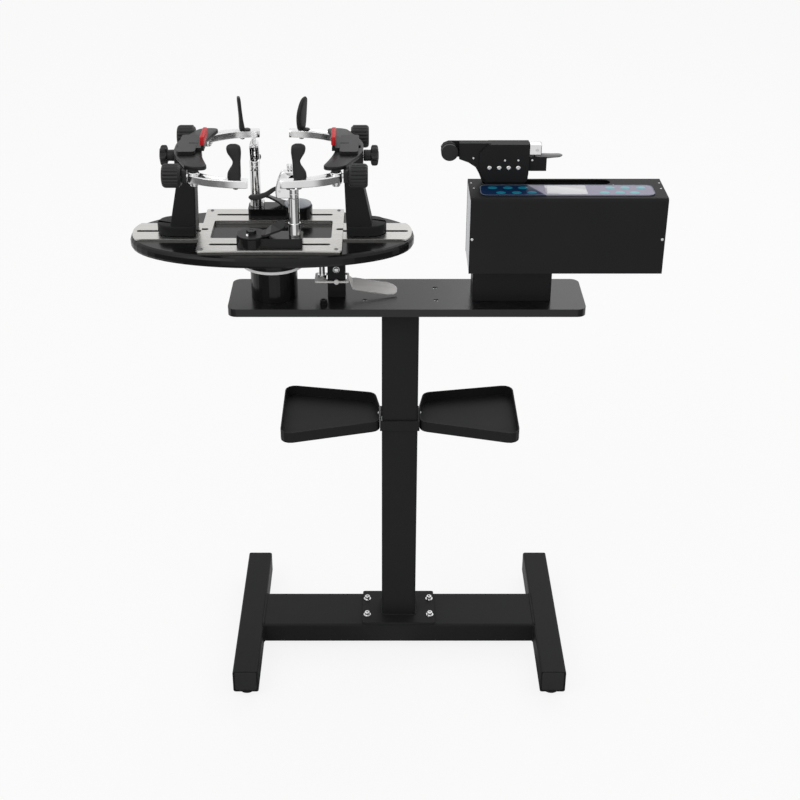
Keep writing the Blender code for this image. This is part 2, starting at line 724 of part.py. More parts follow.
def make_rail_plate(material):
    """A strip the length of the deck, widened in the middle under the clamp frame."""
    plan = oval(DECK_LENGTH - 2 * RAIL_INSET, DECK_DEPTH - 2 * RAIL_INSET, DECK_POINTS * 2)
    half = RAIL_WIDTH / 2.0
    strip = prism([(x, max(-half, min(half, y))) for x, y in strip_points(plan, half)], RAIL_BOTTOM, RAIL_TOP)
    reach = CLAMP_FRAME_LENGTH / 2.0 - RAIL_THICKNESS
    depth = CLAMP_FRAME_DEPTH / 2.0 - RAIL_THICKNESS
    middle = box((TABLE_X - reach, TABLE_X + reach), (-depth, depth), (RAIL_BOTTOM, RAIL_TOP))
    cuts = [window()]
    cuts += tower_slots(SLOT_WIDTH, DECK_TOP, CLAMP_FRAME_TOP)
    cuts += clamp_slots(KEY_HEAD_WIDTH + 2 * SLOT_PLAY, DECK_TOP, CLAMP_FRAME_TOP)
    return part("rail_plate", material, strip, (TABLE_X, 0.0, 0.0), join=[middle], cut=cuts)


def strip_points(plan, half):
    """The points of an oval that lie within half a strip's width, with the strip's corners added."""
    kept = []
    count = len(plan)
    for i in range(count):
        here, after = plan[i], plan[(i + 1) % count]
        if abs(here[1]) <= half:
            kept.append(here)
        if (abs(here[1]) <= half) != (abs(after[1]) <= half):
            edge = math.copysign(half, here[1])
            share = (edge - here[1]) / (after[1] - here[1])
            kept.append((here[0] + share * (after[0] - here[0]), edge))
    return kept


def make_clamp_frame(material):
    """The window frame that carries the clamp bases, notched for the tower slots."""
    half_x, half_y = CLAMP_FRAME_LENGTH / 2.0, CLAMP_FRAME_DEPTH / 2.0
    z = (CLAMP_FRAME_BOTTOM, CLAMP_FRAME_TOP)
    body = round_box((TABLE_X - half_x, TABLE_X + half_x), (-half_y, half_y), z, FRAME_CORNER)
    cuts = [window()]
    cuts += tower_slots(SLOT_WIDTH, DECK_TOP, CLAMP_FRAME_TOP + RAIL_THICKNESS)
    cuts += clamp_slots(SLOT_WIDTH, DECK_TOP, CLAMP_FRAME_TOP + RAIL_THICKNESS)
    return part("clamp_frame", material, body, (TABLE_X, 0.0, 0.0), cut=cuts)


def outward(side, limits):
    """Limits measured outward from the turntable's axis, as world limits along X."""
    return tuple(sorted(TABLE_X + side * value for value in limits))


def head_plan(side):
    """The crescent of a tower's head: a broad middle with a wing to each side arm."""
    half = HEAD_BOSS_WIDTH / 2.0
    outer_wing = KNOB_INNER - GAP
    inner_wing = ARM_PIVOT_X - ARM_EYE_RADIUS - GAP
    quarter = [
        (HEAD_OUTER, half),
        (HEAD_SHOULDER_OUTER, HEAD_SHOULDER_Y),
        (outer_wing, HEAD_WING_NECK_Y),
        (outer_wing, HEAD_WING_REACH),
        (inner_wing, HEAD_WING_REACH),
        (HEAD_SHOULDER_INNER, HEAD_SHOULDER_Y),
        (HEAD_INNER, half),
    ]
    points = quarter + [(x, -y) for x, y in reversed(quarter)]
    return [(TABLE_X + side * x, y) for x, y in points]


def make_tower(side, name, material):
    """Foot, tapered column and crescent head in one casting, with a T-key in the rail's slot below."""
    foot_x = outward(side, (TOWER_FOOT_INNER, TOWER_FOOT_INNER + TOWER_FOOT_LENGTH))
    foot_half = TOWER_FOOT_DEPTH / 2.0
    foot_top = TOWER_BOTTOM + TOWER_FOOT_HEIGHT
    foot = round_box(foot_x, (-foot_half, foot_half), (TOWER_BOTTOM, foot_top), TOWER_FOOT_CORNER, steps=3)
    bottom_x = outward(side, (TOWER_FOOT_INNER, TOWER_FOOT_INNER + TOWER_BOTTOM_WIDTH))
    top_x = outward(side, (TOWER_TOP_INNER, TOWER_TOP_INNER + TOWER_TOP_WIDTH))
    bottom = rounded(rectangle(bottom_x, (-TOWER_BOTTOM_DEPTH / 2.0, TOWER_BOTTOM_DEPTH / 2.0)), TOWER_CORNER, 2)
    top = rounded(rectangle(top_x, (-TOWER_TOP_DEPTH / 2.0, TOWER_TOP_DEPTH / 2.0)), TOWER_CORNER, 2)
    column_low = foot_top - TOWER_FOOT_HEIGHT / 2.0
    column_high = BOSS_BOTTOM + HEAD_PLATE_THICKNESS
    column = loft([[(x, y, column_low) for x, y in bottom], [(x, y, column_high) for x, y in top]])
    half = HEAD_BOSS_WIDTH / 2.0
    boss_x = outward(side, (HEAD_INNER + RAIL_THICKNESS, HEAD_OUTER - GAP))
    boss = box(boss_x, (-half + RAIL_THICKNESS, half - RAIL_THICKNESS), (BOSS_BOTTOM, HEAD_PLATE_TOP - GAP))
    wings = prism(head_plan(side), HEAD_PLATE_BOTTOM, HEAD_PLATE_TOP)
    key_z = (DECK_TOP - DECK_GROOVE_DEPTH + 2 * GAP, DECK_TOP - RAIL_THICKNESS)
    key_middle = TOWER_FOOT_INNER + TOWER_FOOT_LENGTH / 2.0
    key_x = outward(side, (key_middle - SLOT_WIDTH * 2, key_middle + SLOT_WIDTH * 2))
    neck = SLOT_WIDTH / 2.0 - SLOT_PLAY
    head = KEY_HEAD_WIDTH / 2.0
    joins = [
        foot,
        boss,
        wings,
        box(key_x, (-neck, neck), (key_z[1] - GAP, TOWER_BOTTOM + RAIL_THICKNESS)),
        box(key_x, (-head, head), key_z),
    ]
    knob_limits = outward(side, (LUG_INNER, LUG_INNER + LUG_THICKNESS))
    cuts = [head_slot(side)]
    beyond = outward(side, (TONGUE_INNER, HEAD_OUTER + LUG_THICKNESS))
    cuts.append(rod((0.0, KNOB_Z), STAR_SCREW_RADIUS + RUNNING, *beyond, "YZ", 16))
    for end in (-1, 1):
        y = sorted((end * (HEAD_WING_REACH - LUG_WIDTH), end * HEAD_WING_REACH))
        lug_bottom = KNOB_Z - LUG_WIDTH / 2.0
        joins.append(box(knob_limits, y, (lug_bottom, HEAD_PLATE_TOP - GAP)))
        pin = (TABLE_X + side * ARM_PIVOT_X, end * ARM_KNOB_Y)
        joins.append(rod(pin, ARM_PIN_RADIUS, ARM_EYE_BOTTOM, HEAD_PLATE_TOP - GAP, steps=16))
        through = outward(side, (LUG_INNER - GAP, LUG_INNER + LUG_THICKNESS + GAP))
        cuts.append(rod((end * ARM_KNOB_Y, KNOB_Z), ARM_SCREW_RADIUS + RUNNING, *through, "YZ", 14))
    return part(name, material, column, (TABLE_X + side * key_middle, 0.0, TOWER_BOTTOM), joins, cuts)


def head_slot(side):
    """The slot in a tower's head that the racket block's tongue slides in, open at the top."""
    reach = TONGUE_INNER - BLOCK_TRAVEL - SLOT_PLAY, TONGUE_INNER + TONGUE_LENGTH + BLOCK_TRAVEL + SLOT_PLAY
    half = TONGUE_WIDTH / 2.0 + SLOT_PLAY
    low = KNOB_Z - STAR_SCREW_RADIUS - RAIL_THICKNESS
    return box(outward(side, reach), (-half, half), (low, HEAD_PLATE_TOP + HEAD_PLATE_THICKNESS))


def make_head_block(side, name, material):
    """The sliding plate under the racket's frame, its nose with a finger inside the frame, and a tongue."""
    half = BLOCK_WIDTH / 2.0
    low = HEAD_PLATE_TOP + GAP
    high = low + BLOCK_HEIGHT
    plan = rounded(rectangle(outward(side, (BLOCK_INNER, BLOCK_OUTER)), (-half, half)), BLOCK_CORNER, 3)
    body = prism(plan, low, high)
    nose_x = outward(side, (BLOCK_NOSE_INNER, BLOCK_INNER + BLOCK_CORNER))
    nose_y = (-BLOCK_NOSE_WIDTH / 2.0, BLOCK_NOSE_WIDTH / 2.0)
    nose = box(nose_x, nose_y, (low + GAP, high - GAP))
    finger_x = outward(side, (BLOCK_NOSE_INNER + GAP, BLOCK_NOSE_INNER + FINGER_THICKNESS))
    finger_y = (-FINGER_WIDTH / 2.0, FINGER_WIDTH / 2.0)
    finger = box(finger_x, finger_y, (low + 2 * GAP, low + FINGER_HEIGHT))
    tongue_x = outward(side, (TONGUE_INNER, TONGUE_INNER + TONGUE_LENGTH))
    tongue_low = KNOB_Z - STAR_SCREW_RADIUS - RAIL_THICKNESS + GAP
    tongue = box(tongue_x, (-TONGUE_WIDTH / 2.0, TONGUE_WIDTH / 2.0), (tongue_low, high - GAP))
    drill = rod((0.0, KNOB_Z), STAR_SCREW_RADIUS + RUNNING, tongue_x[0] - GAP, tongue_x[1] + GAP, "YZ", 16)
    slit_x = outward(side, (BLOCK_INNER, TONGUE_INNER + TONGUE_LENGTH / 4.0))
    slit_y = (-BLOCK_SLIT_WIDTH / 2.0, BLOCK_SLIT_WIDTH / 2.0)
    slit = box(slit_x, slit_y, (high - BLOCK_SLIT_DEPTH, high + BLOCK_HEIGHT))
    origin = (TABLE_X + side * (BLOCK_INNER + BLOCK_OUTER) / 2.0, 0.0, low)
    return part(name, material, body, origin, [nose, finger, tongue], [drill, slit])


def lobed(center, radius, depth, lobes, per_lobe):
    """A round outline whose radius rises and falls by the depth, once for each lobe."""
    outline = []
    for t in np.linspace(0.0, 2.0 * math.pi, lobes * per_lobe, endpoint=False):
        reach = radius - depth + depth * math.cos(lobes * t)
        outline.append((center[0] + reach * math.cos(t), center[1] + reach * math.sin(t)))
    return outline


def make_star_knob(side, name, material):
    """Lobed knob, stem and the screw that pushes the racket block."""
    stem_from = HEAD_OUTER + GAP
    stem_to = stem_from + STAR_STEM_LENGTH
    star_x = outward(side, (stem_to - GAP, stem_to + STAR_THICKNESS))
    plan = lobed((0.0, KNOB_Z), STAR_RADIUS, STAR_LOBE_DEPTH, STAR_LOBES, 6)
    star = prism(plan, *star_x, "YZ")
    stem_x = outward(side, (stem_from, stem_to))
    stem = rod((0.0, KNOB_Z), STAR_STEM_RADIUS, *stem_x, "YZ", 18)
    screw_x = outward(side, (TONGUE_INNER - BLOCK_TRAVEL / 2.0, stem_from + GAP))
    screw = rod((0.0, KNOB_Z), STAR_SCREW_RADIUS, *screw_x, "YZ", 14)
    return part(name, material, star, (TABLE_X + side * stem_from, 0.0, KNOB_Z), [stem, screw])


def make_arm_knob(side, end, name, material):
    """Ribbed knob with the screw that bears on the side arm's eye."""
    y = end * ARM_KNOB_Y
    plan = lobed((y, KNOB_Z), ARM_KNOB_RADIUS, ARM_KNOB_RIB_DEPTH, ARM_KNOB_RIBS, 3)
    knob = prism(plan, *outward(side, (KNOB_INNER, KNOB_INNER + ARM_KNOB_LENGTH)), "YZ")
    tip = ARM_PIVOT_X + ARM_EYE_RADIUS + GAP
    screw = rod((y, KNOB_Z), ARM_SCREW_RADIUS, *outward(side, (tip, KNOB_INNER + GAP)), "YZ", 12)
    return part(name, material, knob, (TABLE_X + side * KNOB_INNER, y, KNOB_Z), [screw])


def arm_point(share):
    """A point on the side arm's middle line, a quadratic bow from the pivot to the free end."""
    start, bow, end = (ARM_PIVOT_X, ARM_KNOB_Y), (ARM_BOW_X, ARM_BOW_Y), (ARM_END_X, ARM_END_Y)
    rest = 1.0 - share
    return Vector([rest * rest * a + 2.0 * share * rest * b + share * share * c for a, b, c in zip(start, bow, end)])


def arm_plan(side, end):
    """The bow's middle line widened to the arm's width, with a round free end."""
    shares = np.linspace(0.0, 1.0, ARM_STEPS)
    near, far = [], []
    for share in shares:
        here = arm_point(share)
        ahead = arm_point(min(1.0, share + 0.01)) - arm_point(max(0.0, share - 0.01))
        width = ARM_WIDTH + (ARM_ROOT_WIDTH - ARM_WIDTH) * (1.0 - share) ** 2
        across = Vector((-ahead.y, ahead.x)).normalized() * (width / 2.0)
        near.append(here + across)
        far.append(here - across)
    tip = arm_point(1.0)
    spoke = far[-1] - tip
    cap = []
    for k in (1, 2, 3):
        turned_spoke = spoke.copy()
        turned_spoke.rotate(Matrix.Rotation(-math.pi * k / 4.0, 2))
        cap.append(tip + turned_spoke)
    points = far + cap + near[::-1]
    return [(TABLE_X + side * p.x, end * p.y) for p in points]


def make_side_arm(side, end, corner, material):
    """A bowed bar that swings on the tower's pin and carries a support near its free end."""
    bar = prism(arm_plan(side, end), ARM_BOTTOM, ARM_TOP)
    pivot = (TABLE_X + side * ARM_PIVOT_X, end * ARM_KNOB_Y)
    eye = rod(pivot, ARM_EYE_RADIUS, ARM_EYE_BOTTOM, ARM_EYE_TOP, steps=20)
    pin = rod(pivot, ARM_PIN_RADIUS + RUNNING, ARM_EYE_BOTTOM - GAP, ARM_EYE_TOP + GAP, steps=16)
    seat = support_place(side, end, corner)
    socket = rod(seat, SUPPORT_PIN_RADIUS + RUNNING, ARM_BOTTOM - GAP, ARM_TOP + GAP, steps=12)
    return part(f"side_arm_{corner}", material, bar, (*pivot, ARM_EYE_TOP), [eye], [pin, socket])


def support_place(side, end, corner):
    point = arm_point(SUPPORT_ALONG_ARM[corner])
    return (TABLE_X + side * point.x, end * point.y)


def support_profile():
    """Half the support's outline seen face on, from the foot up: foot, neck and rounded top."""
    foot, neck, top = SUPPORT_FOOT_WIDTH / 2.0, SUPPORT_NECK_WIDTH / 2.0, SUPPORT_TOP_WIDTH / 2.0
    shares = ((0.0, foot), (0.22, foot), (0.40, neck), (0.56, neck), (0.74, top), (0.90, top), (1.0, top * 0.6))
    return [(reach, share * SUPPORT_HEIGHT) for share, reach in shares]


def make_side_support(side, end, corner, material):
    """A waisted upright with a swivel pin in the side arm."""
    x, y = support_place(side, end, corner)
    low = ARM_TOP + GAP
    half = support_profile()
    outline = [(x + a, low + b) for a, b in half] + [(x - a, low + b) for a, b in reversed(half)]
    body = prism(outline, y - SUPPORT_THICKNESS / 2.0, y + SUPPORT_THICKNESS / 2.0, "XZ")
    pin = rod((x, y), SUPPORT_PIN_RADIUS, ARM_BOTTOM, low + SUPPORT_THICKNESS, steps=12)
    item = part(f"side_support_{corner}", material, body, (x, y, low), [pin])
    item.rotation_euler.z = math.radians(SUPPORT_TURN[corner]) * side * end
    return item


def row_name(end):
    return "front" if end < 0 else "rear"


def clamp_middle(end):
    return TABLE_X + CLAMP_BASE_X[row_name(end)], end * CLAMP_SLOT_Y


def clamp_post_place(end):
    """The front clamp's post is at its right end and the rear clamp's at its left end."""
    x, y = clamp_middle(end)
    return x - end * CLAMP_POST_FROM_MIDDLE, y


def clamp_hub_place(end):
    """The locking lever's stud is at the other end of the base than the post."""
    x, y = clamp_middle(end)
    return x + end * CLAMP_HUB_FROM_MIDDLE, y


def make_clamp_base(end, name, material):
    """The sliding block of a clamp, one end round, with a T-key in the frame's slot, a socket and a stud."""
    x, y = clamp_middle(end)
    hub = clamp_hub_place(end)
    limits_x = tuple(sorted((x - end * CLAMP_BASE_LENGTH / 2.0, hub[0])))
    limits_y = (y - CLAMP_BASE_DEPTH / 2.0, y + CLAMP_BASE_DEPTH / 2.0)
    body = round_box(limits_x, limits_y, (CLAMP_BASE_BOTTOM, CLAMP_BASE_TOP), CLAMP_BASE_CORNER)
    round_end = rod(hub, CLAMP_ROUND_END_RADIUS, CLAMP_BASE_BOTTOM, CLAMP_BASE_TOP, steps=36)
    stud_top = CLAMP_BASE_TOP + BASE_HUB_HEIGHT
    stud = rod(hub, BASE_STUD_RADIUS, CLAMP_BASE_TOP - GAP, stud_top, steps=12)
    key_x = (x - CLAMP_KEY_LENGTH / 2.0, x + CLAMP_KEY_LENGTH / 2.0)
    neck = SLOT_WIDTH / 2.0 - SLOT_PLAY
    head = KEY_HEAD_WIDTH / 2.0
    head_z = (RAIL_BOTTOM + GAP, CLAMP_FRAME_BOTTOM - 2 * GAP)
    keys = [
        box(key_x, (y - neck, y + neck), (head_z[0] + GAP, CLAMP_BASE_BOTTOM + RAIL_THICKNESS)),
        box(key_x, (y - head, y + head), head_z),
    ]
    socket_low = CLAMP_BASE_BOTTOM + GAP
    socket = rod(clamp_post_place(end), POST_SPIGOT_RADIUS + GAP, socket_low, CLAMP_BASE_TOP + GAP, steps=16)
    return part(name, material, body, (x, y, CLAMP_BASE_BOTTOM), [round_end, stud, *keys], [socket])


def make_base_lever(end, name, material):
    """The base's locking lever: a flat disc on the stud and a paddle that rises towards the post."""
    hub = clamp_hub_place(end)
    low = CLAMP_BASE_TOP + GAP
    disc = rod(hub, BASE_DISC_RADIUS, low, low + BASE_LEVER_THICKNESS, steps=36)
    top = low + BASE_HUB_HEIGHT
    nut = rod(hub, BASE_HUB_RADIUS, low + GAP, top, steps=6)
    drill = rod(hub, BASE_STUD_RADIUS + RUNNING, low - GAP, top + GAP, steps=12)
    half = BASE_LEVER_WIDTH / 2.0
    start, reach = BASE_DISC_RADIUS * 0.7, BASE_LEVER_REACH
    middle = low + BASE_PADDLE_THICKNESS / 2.0
    stations = [
        (start, 0.0, half * 0.9, 0.0),
        (BASE_DISC_RADIUS, BASE_PADDLE_RISE * 0.08, half, 0.0),
        (BASE_DISC_RADIUS * 1.35, BASE_PADDLE_RISE * 0.45, half, BASE_PADDLE_ROLL * 0.6),
        (reach - half * 0.6, BASE_PADDLE_RISE * 0.92, half, BASE_PADDLE_ROLL),
        (reach - half * 0.2, BASE_PADDLE_RISE, half * 0.75, BASE_PADDLE_ROLL),
        (reach, BASE_PADDLE_RISE, half * 0.3, BASE_PADDLE_ROLL),
    ]
    sections = []
    for distance, rise, width, roll in stations:
        place = Vector((hub[0] - end * distance, hub[1], middle + rise))
        sections.append(strip_section(place, width, BASE_PADDLE_THICKNESS / 2.0, -end * roll))
    return part(name, material, disc, (*hub, low), [loft(sections), nut], [drill])


def strip_section(middle, half_width, half_thickness, roll):
    """Four corners of a flat strip's cross-section, turned about X by the roll in degrees."""
    turn = Matrix.Rotation(math.radians(roll), 3, "X")
    corners = [(-half_width, -half_thickness), (half_width, -half_thickness),
               (half_width, half_thickness), (-half_width, half_thickness)]
    return [middle + turn @ Vector((0.0, y, z)) for y, z in corners]


def make_clamp_post(end, name, material):
    """Turned post: a spigot in the base, a sleeve and a shank bored for the clamp head's stem."""
    low = CLAMP_BASE_TOP + GAP
    high = low + POST_LENGTH
    spigot, bore = POST_SPIGOT_RADIUS, STEM_RADIUS + RUNNING
    profile = [
        (0.0, CLAMP_BASE_BOTTOM + 2 * GAP),
        (spigot, CLAMP_BASE_BOTTOM + 2 * GAP),
        (spigot, low),
        (POST_SLEEVE_RADIUS, low),
        (POST_SLEEVE_RADIUS, low + POST_SLEEVE_HEIGHT),
        (POST_RADIUS, low + POST_SLEEVE_HEIGHT),
        (POST_RADIUS, high),
        (bore, high),
        (bore, low + POST_BORE_FLOOR),
        (0.0, low + POST_BORE_FLOOR),
    ]
    place = clamp_post_place(end)
    return part(name, material, turned(profile, place, 24), (*place, low))


def turn_about(item, end):
    """The rear clamp's head points away from the user, the front one's to the left."""
    item.rotation_euler.z = math.radians(180.0 if end < 0 else 90.0)
    return item


def head_side(u, z):
    """A clamp head point: u outward from the post's axis, z up from the head's bottom."""
    return (u, CLAMP_HEAD_BOTTOM + z)


def local_part(name, material, solid, place, join=(), cut=()):
    """A clamp piece made at the world's middle, then moved to its post."""
    item = part(name, material, solid, (0.0, 0.0, 0.0), join, cut)
    item.location = place
    return item


def make_clamp_head(end, name, material):
    """Stem, collar, swan neck and a fixed comb jaw, forked for the lever. It points along +X before its turn."""
    half = CLAMP_HEAD_WIDTH / 2.0
    top = CLAMP_HEAD_HEIGHT
    foot = CLAMP_COLLAR_HEIGHT - GAP
    neck_points = [
        (0.004, 0.002), (0.0285, 0.001), (0.0295, 0.016), (0.025, 0.028), (0.0165, top - 0.005), (0.014, top),
        (-0.0095, top), (-0.0095, top - 0.006), (0.0015, top - 0.008), (0.009, 0.027), (0.0105, foot),
        (0.004, foot),
    ]
    neck = prism([head_side(u, z) for u, z in neck_points], -half, half, "XZ")
    collar = rod((0.0, 0.0), COLLAR_RADIUS, CLAMP_HEAD_BOTTOM, CLAMP_HEAD_BOTTOM + CLAMP_COLLAR_HEIGHT, steps=24)
    stem = rod((0.0, 0.0), STEM_RADIUS, CLAMP_HEAD_BOTTOM - STEM_LENGTH, CLAMP_HEAD_BOTTOM + foot, steps=20)
    jaw_x = (-JAW_LENGTH / 2.0, JAW_LENGTH / 2.0)
    jaw_z = (CLAMP_HEAD_BOTTOM + top - JAW_NOTCH, CLAMP_HEAD_BOTTOM + top + JAW_HEIGHT)
    jaw = box(jaw_x, (JAW_OPEN / 2.0, JAW_OPEN / 2.0 + JAW_THICKNESS), jaw_z)
    u, z = CLAMP_LEVER_PIVOT_U, CLAMP_LEVER_PIVOT_Z
    fork = box(
        (u - FORK_DEPTH, u + 4 * FORK_DEPTH),
        (-CLAMP_FORK_GAP / 2.0, CLAMP_FORK_GAP / 2.0),
        (CLAMP_HEAD_BOTTOM - GAP, CLAMP_HEAD_BOTTOM + z + FORK_RISE),
    )
    pin = rod(head_side(u, z), CLAMP_PIN_RADIUS + RUNNING, -CLAMP_HEAD_WIDTH, CLAMP_HEAD_WIDTH, "XZ", 12)
    place = (*clamp_post_place(end), 0.0)
    item = local_part(name, material, neck, place, [stem, collar, jaw], [fork, pin, *comb(1)])
    return turn_about(item, end)


def comb(side):
    """The notches between a jaw's teeth, on the side of the string that the jaw is on."""
    pitch = JAW_LENGTH / JAW_TEETH
    half = JAW_NOTCH / 2.0
    low = CLAMP_HEAD_BOTTOM + CLAMP_HEAD_HEIGHT + JAW_NOTCH
    cuts = []
    for k in range(1, JAW_TEETH):
        x = -JAW_LENGTH / 2.0 + k * pitch
        y = sorted((side * JAW_OPEN / 4.0, side * (JAW_OPEN + JAW_THICKNESS)))
        cuts.append(box((x - half, x + half), y, (low, low + 2 * JAW_HEIGHT)))
    return cuts


def make_clamp_jaw(end, name, material):
    """The moving comb jaw, on a slide across the head's top."""
    low = CLAMP_HEAD_BOTTOM + CLAMP_HEAD_HEIGHT + GAP
    x = (-JAW_LENGTH / 2.0, JAW_LENGTH / 2.0)
    inner, outer = -JAW_OPEN / 2.0, -CLAMP_HEAD_WIDTH / 2.0
    body = box(x, (inner - JAW_THICKNESS, inner), (low, CLAMP_HEAD_BOTTOM + CLAMP_HEAD_HEIGHT + JAW_HEIGHT))
    shoe = box((x[0] + GAP, x[1] - GAP), (outer, inner - GAP), (low, low + JAW_NOTCH))
    item = local_part(name, material, body, (*clamp_post_place(end), 0.0), [shoe], comb(-1))
    return turn_about(item, end)


def make_clamp_lever(end, name, material):
    """The lever that closes the jaw: hub and pin in the fork, a thin link and a thick handle."""
    u, z = CLAMP_LEVER_PIVOT_U, CLAMP_LEVER_PIVOT_Z
    points = [
        (u - 0.003, z - 0.004), (u + 0.010, z - 0.010), (u + 0.020, z - 0.019), (u + 0.026, z - 0.0215),
        (u + 0.043, z - 0.0215), (u + 0.046, z - 0.017), (u + 0.043, z - 0.0125), (u + 0.028, z - 0.0125),
        (u + 0.020, z - 0.007), (u + 0.008, z + 0.003), (u - 0.002, z + 0.005),
    ]
    half = CLAMP_FORK_GAP / 2.0 - RUNNING
    link = prism([head_side(a, b) for a, b in points], -half, half, "XZ")
    hub = rod(head_side(u, z), CLAMP_HUB_RADIUS, -half, half, "XZ", 20)
    pin = rod(head_side(u, z), CLAMP_PIN_RADIUS, -CLAMP_HEAD_WIDTH / 2.0, CLAMP_HEAD_WIDTH / 2.0, "XZ", 12)
    grip_points = [head_side(a, b) for a, b in points[3:8]]
    grip = prism(grip_points, -CLAMP_HANDLE_WIDTH / 2.0, CLAMP_HANDLE_WIDTH / 2.0, "XZ")
    x, y = clamp_post_place(end)
    item = local_part(name, material, link, (x, y, 0.0), [hub, pin, grip])
    turn_about(item, end)
    pivot_u, pivot_z = head_side(u, z)
    move_origin(item, Vector((pivot_u, 0.0, pivot_z)))
    return item


def move_origin(item, place):
    """Shifts a piece's own origin to a point given in its own space and leaves the piece where it is."""
    item.data.transform(Matrix.Translation(-place))
    for child in item.children:
        child.location = child.location - place
    item.location = Vector(item.location) + item.rotation_euler.to_matrix() @ place


def make_brake_post(material):
    """The brake's upright, drilled for the lever's cross pin."""
    x = (BRAKE_PIVOT_X - BRAKE_POST_WIDTH / 2.0, BRAKE_PIVOT_X + BRAKE_POST_WIDTH / 2.0)
    y = (-BRAKE_POST_DEPTH / 2.0, BRAKE_POST_DEPTH / 2.0)
    low, high = PLATE_TOP + GAP, PLATE_TOP + GAP + BRAKE_POST_HEIGHT
    body = round_box(x, y, (low, high), BRAKE_POST_CORNER, steps=2)
    pivot = rod((BRAKE_PIVOT_X, BRAKE_PIVOT_Z), BRAKE_PIVOT_RADIUS + RUNNING, 2 * y[0], 2 * y[1], "XZ", 14)
    return part("brake_post", material, body, cut=[pivot])


def make_brake_lever(material):
    """A flat plate round the post on a cross pin, its neck twisted into a wide hand paddle."""
    half = BRAKE_PLATE_THICKNESS / 2.0
    z = (BRAKE_PIVOT_Z - half, BRAKE_PIVOT_Z + half)
    left = BRAKE_PIVOT_X - BRAKE_TAB_REACH
    hole_half = BRAKE_POST_WIDTH / 2.0 + BRAKE_RING_END_PLAY
    inner_y = BRAKE_POST_DEPTH / 2.0 + BRAKE_RING_SIDE_PLAY
    outer_y = inner_y + BRAKE_STRIP_WIDTH
    right = BRAKE_PIVOT_X + hole_half + BRAKE_STRIP_WIDTH
    plate = round_box((left, right), (-outer_y, outer_y), z, BRAKE_STRIP_WIDTH, steps=2)
    hole_x = (BRAKE_PIVOT_X - hole_half, BRAKE_PIVOT_X + hole_half)
    hole = box(hole_x, (-inner_y, inner_y), (z[0] - half, z[1] + half))
    pin_hole = rod((brake_pin_x(), 0.0), BRAKE_THREAD_RADIUS + GAP, z[0] - half, z[1] + half, steps=14)
    pivot = (BRAKE_PIVOT_X, BRAKE_PIVOT_Z)
    pin_end = outer_y + GAP
    pin = rod(pivot, BRAKE_PIVOT_RADIUS, -pin_end, pin_end, "XZ", 14)
    bosses = [
        rod(pivot, BRAKE_BOSS_RADIUS, *sorted((s * (inner_y + GAP), s * (pin_end + GAP))), "XZ", 16)
        for s in (-1, 1)
    ]
    origin = (BRAKE_PIVOT_X, 0.0, BRAKE_PIVOT_Z)
    return part("brake_lever", material, plate, origin, [paddle_loft(right), *bosses], [hole, pin_hole], [pin])


def brake_pin_x():
    return BRAKE_PIVOT_X - BRAKE_PIN_ARM


def paddle_loft(start):
    """The paddle as a strip whose sections turn and widen from the plate's edge to the round end."""
    from_x = start + BRAKE_NECK_LENGTH
    half, neck = BRAKE_PADDLE_WIDTH / 2.0, BRAKE_NECK_WIDTH / 2.0
    drops = (BRAKE_PADDLE_DROP_START, BRAKE_PADDLE_DROP_END)
    stations = [(start - BRAKE_STRIP_WIDTH / 2.0, 0.0, neck, 0.0), (start, 0.0, neck, 0.0)]
    for share, part_width in ((0.0, 0.9), (0.06, 1.0), (0.80, 1.0), (0.92, 0.80), (0.98, 0.50), (1.0, 0.22)):
        drop = drops[0] + share * (drops[1] - drops[0])
        stations.append((from_x + share * BRAKE_PADDLE_LENGTH, drop, half * part_width, BRAKE_PADDLE_ROLL))
    thick = BRAKE_PLATE_THICKNESS * 0.46
    return loft([
        strip_section(Vector((x, 0.0, BRAKE_PIVOT_Z - drop)), reach, thick, roll)
        for x, drop, reach, roll in stations
    ])


def make_brake_pin(material):
    """The brake's pad pin: a thread held in the lever's tab by two nuts, and a thick shank under the deck."""
    half = BRAKE_PLATE_THICKNESS / 2.0
    nut, thread = BRAKE_NUT_RADIUS, BRAKE_THREAD_RADIUS
    under = BRAKE_PIVOT_Z - half - GAP
    over = BRAKE_PIVOT_Z + half + GAP
    high = DECK_BOTTOM - GAP
    tip = under - 1.6 * BRAKE_NUT_HEIGHT
    profile = [
        (0.0, tip),
        (thread, tip),
        (thread, under - BRAKE_NUT_HEIGHT),
        (nut * 0.8, under - BRAKE_NUT_HEIGHT),
        (nut * 0.8, under),
        (thread, under),
        (thread, over),
        (nut, over),
        (nut, over + BRAKE_NUT_HEIGHT),
        (BRAKE_PIN_RADIUS, over + BRAKE_NUT_HEIGHT),
        (BRAKE_PIN_RADIUS, high),
        (0.0, high),
    ]
    return part("brake_pin", material, turned(profile, (brake_pin_x(), 0.0), 18), (brake_pin_x(), 0.0, over))


def make_pedestal(material):
    """A sheet box, open below, between the top plate and the tension head."""
    x = (POST_X + PEDESTAL_LEFT, POST_X + PEDESTAL_LEFT + PEDESTAL_WIDTH)
    half = PEDESTAL_DEPTH / 2.0
    z = (PLATE_TOP + GAP, HEAD_BOTTOM - GAP)
    body = round_box(x, (-half, half), z, PEDESTAL_CORNER)
    wall = PEDESTAL_WALL
    hollow = box((x[0] + wall, x[1] - wall), (-half + wall, half - wall), (z[0] - wall, z[1] - wall))
    return part("head_pedestal", material, body, cut=[hollow])


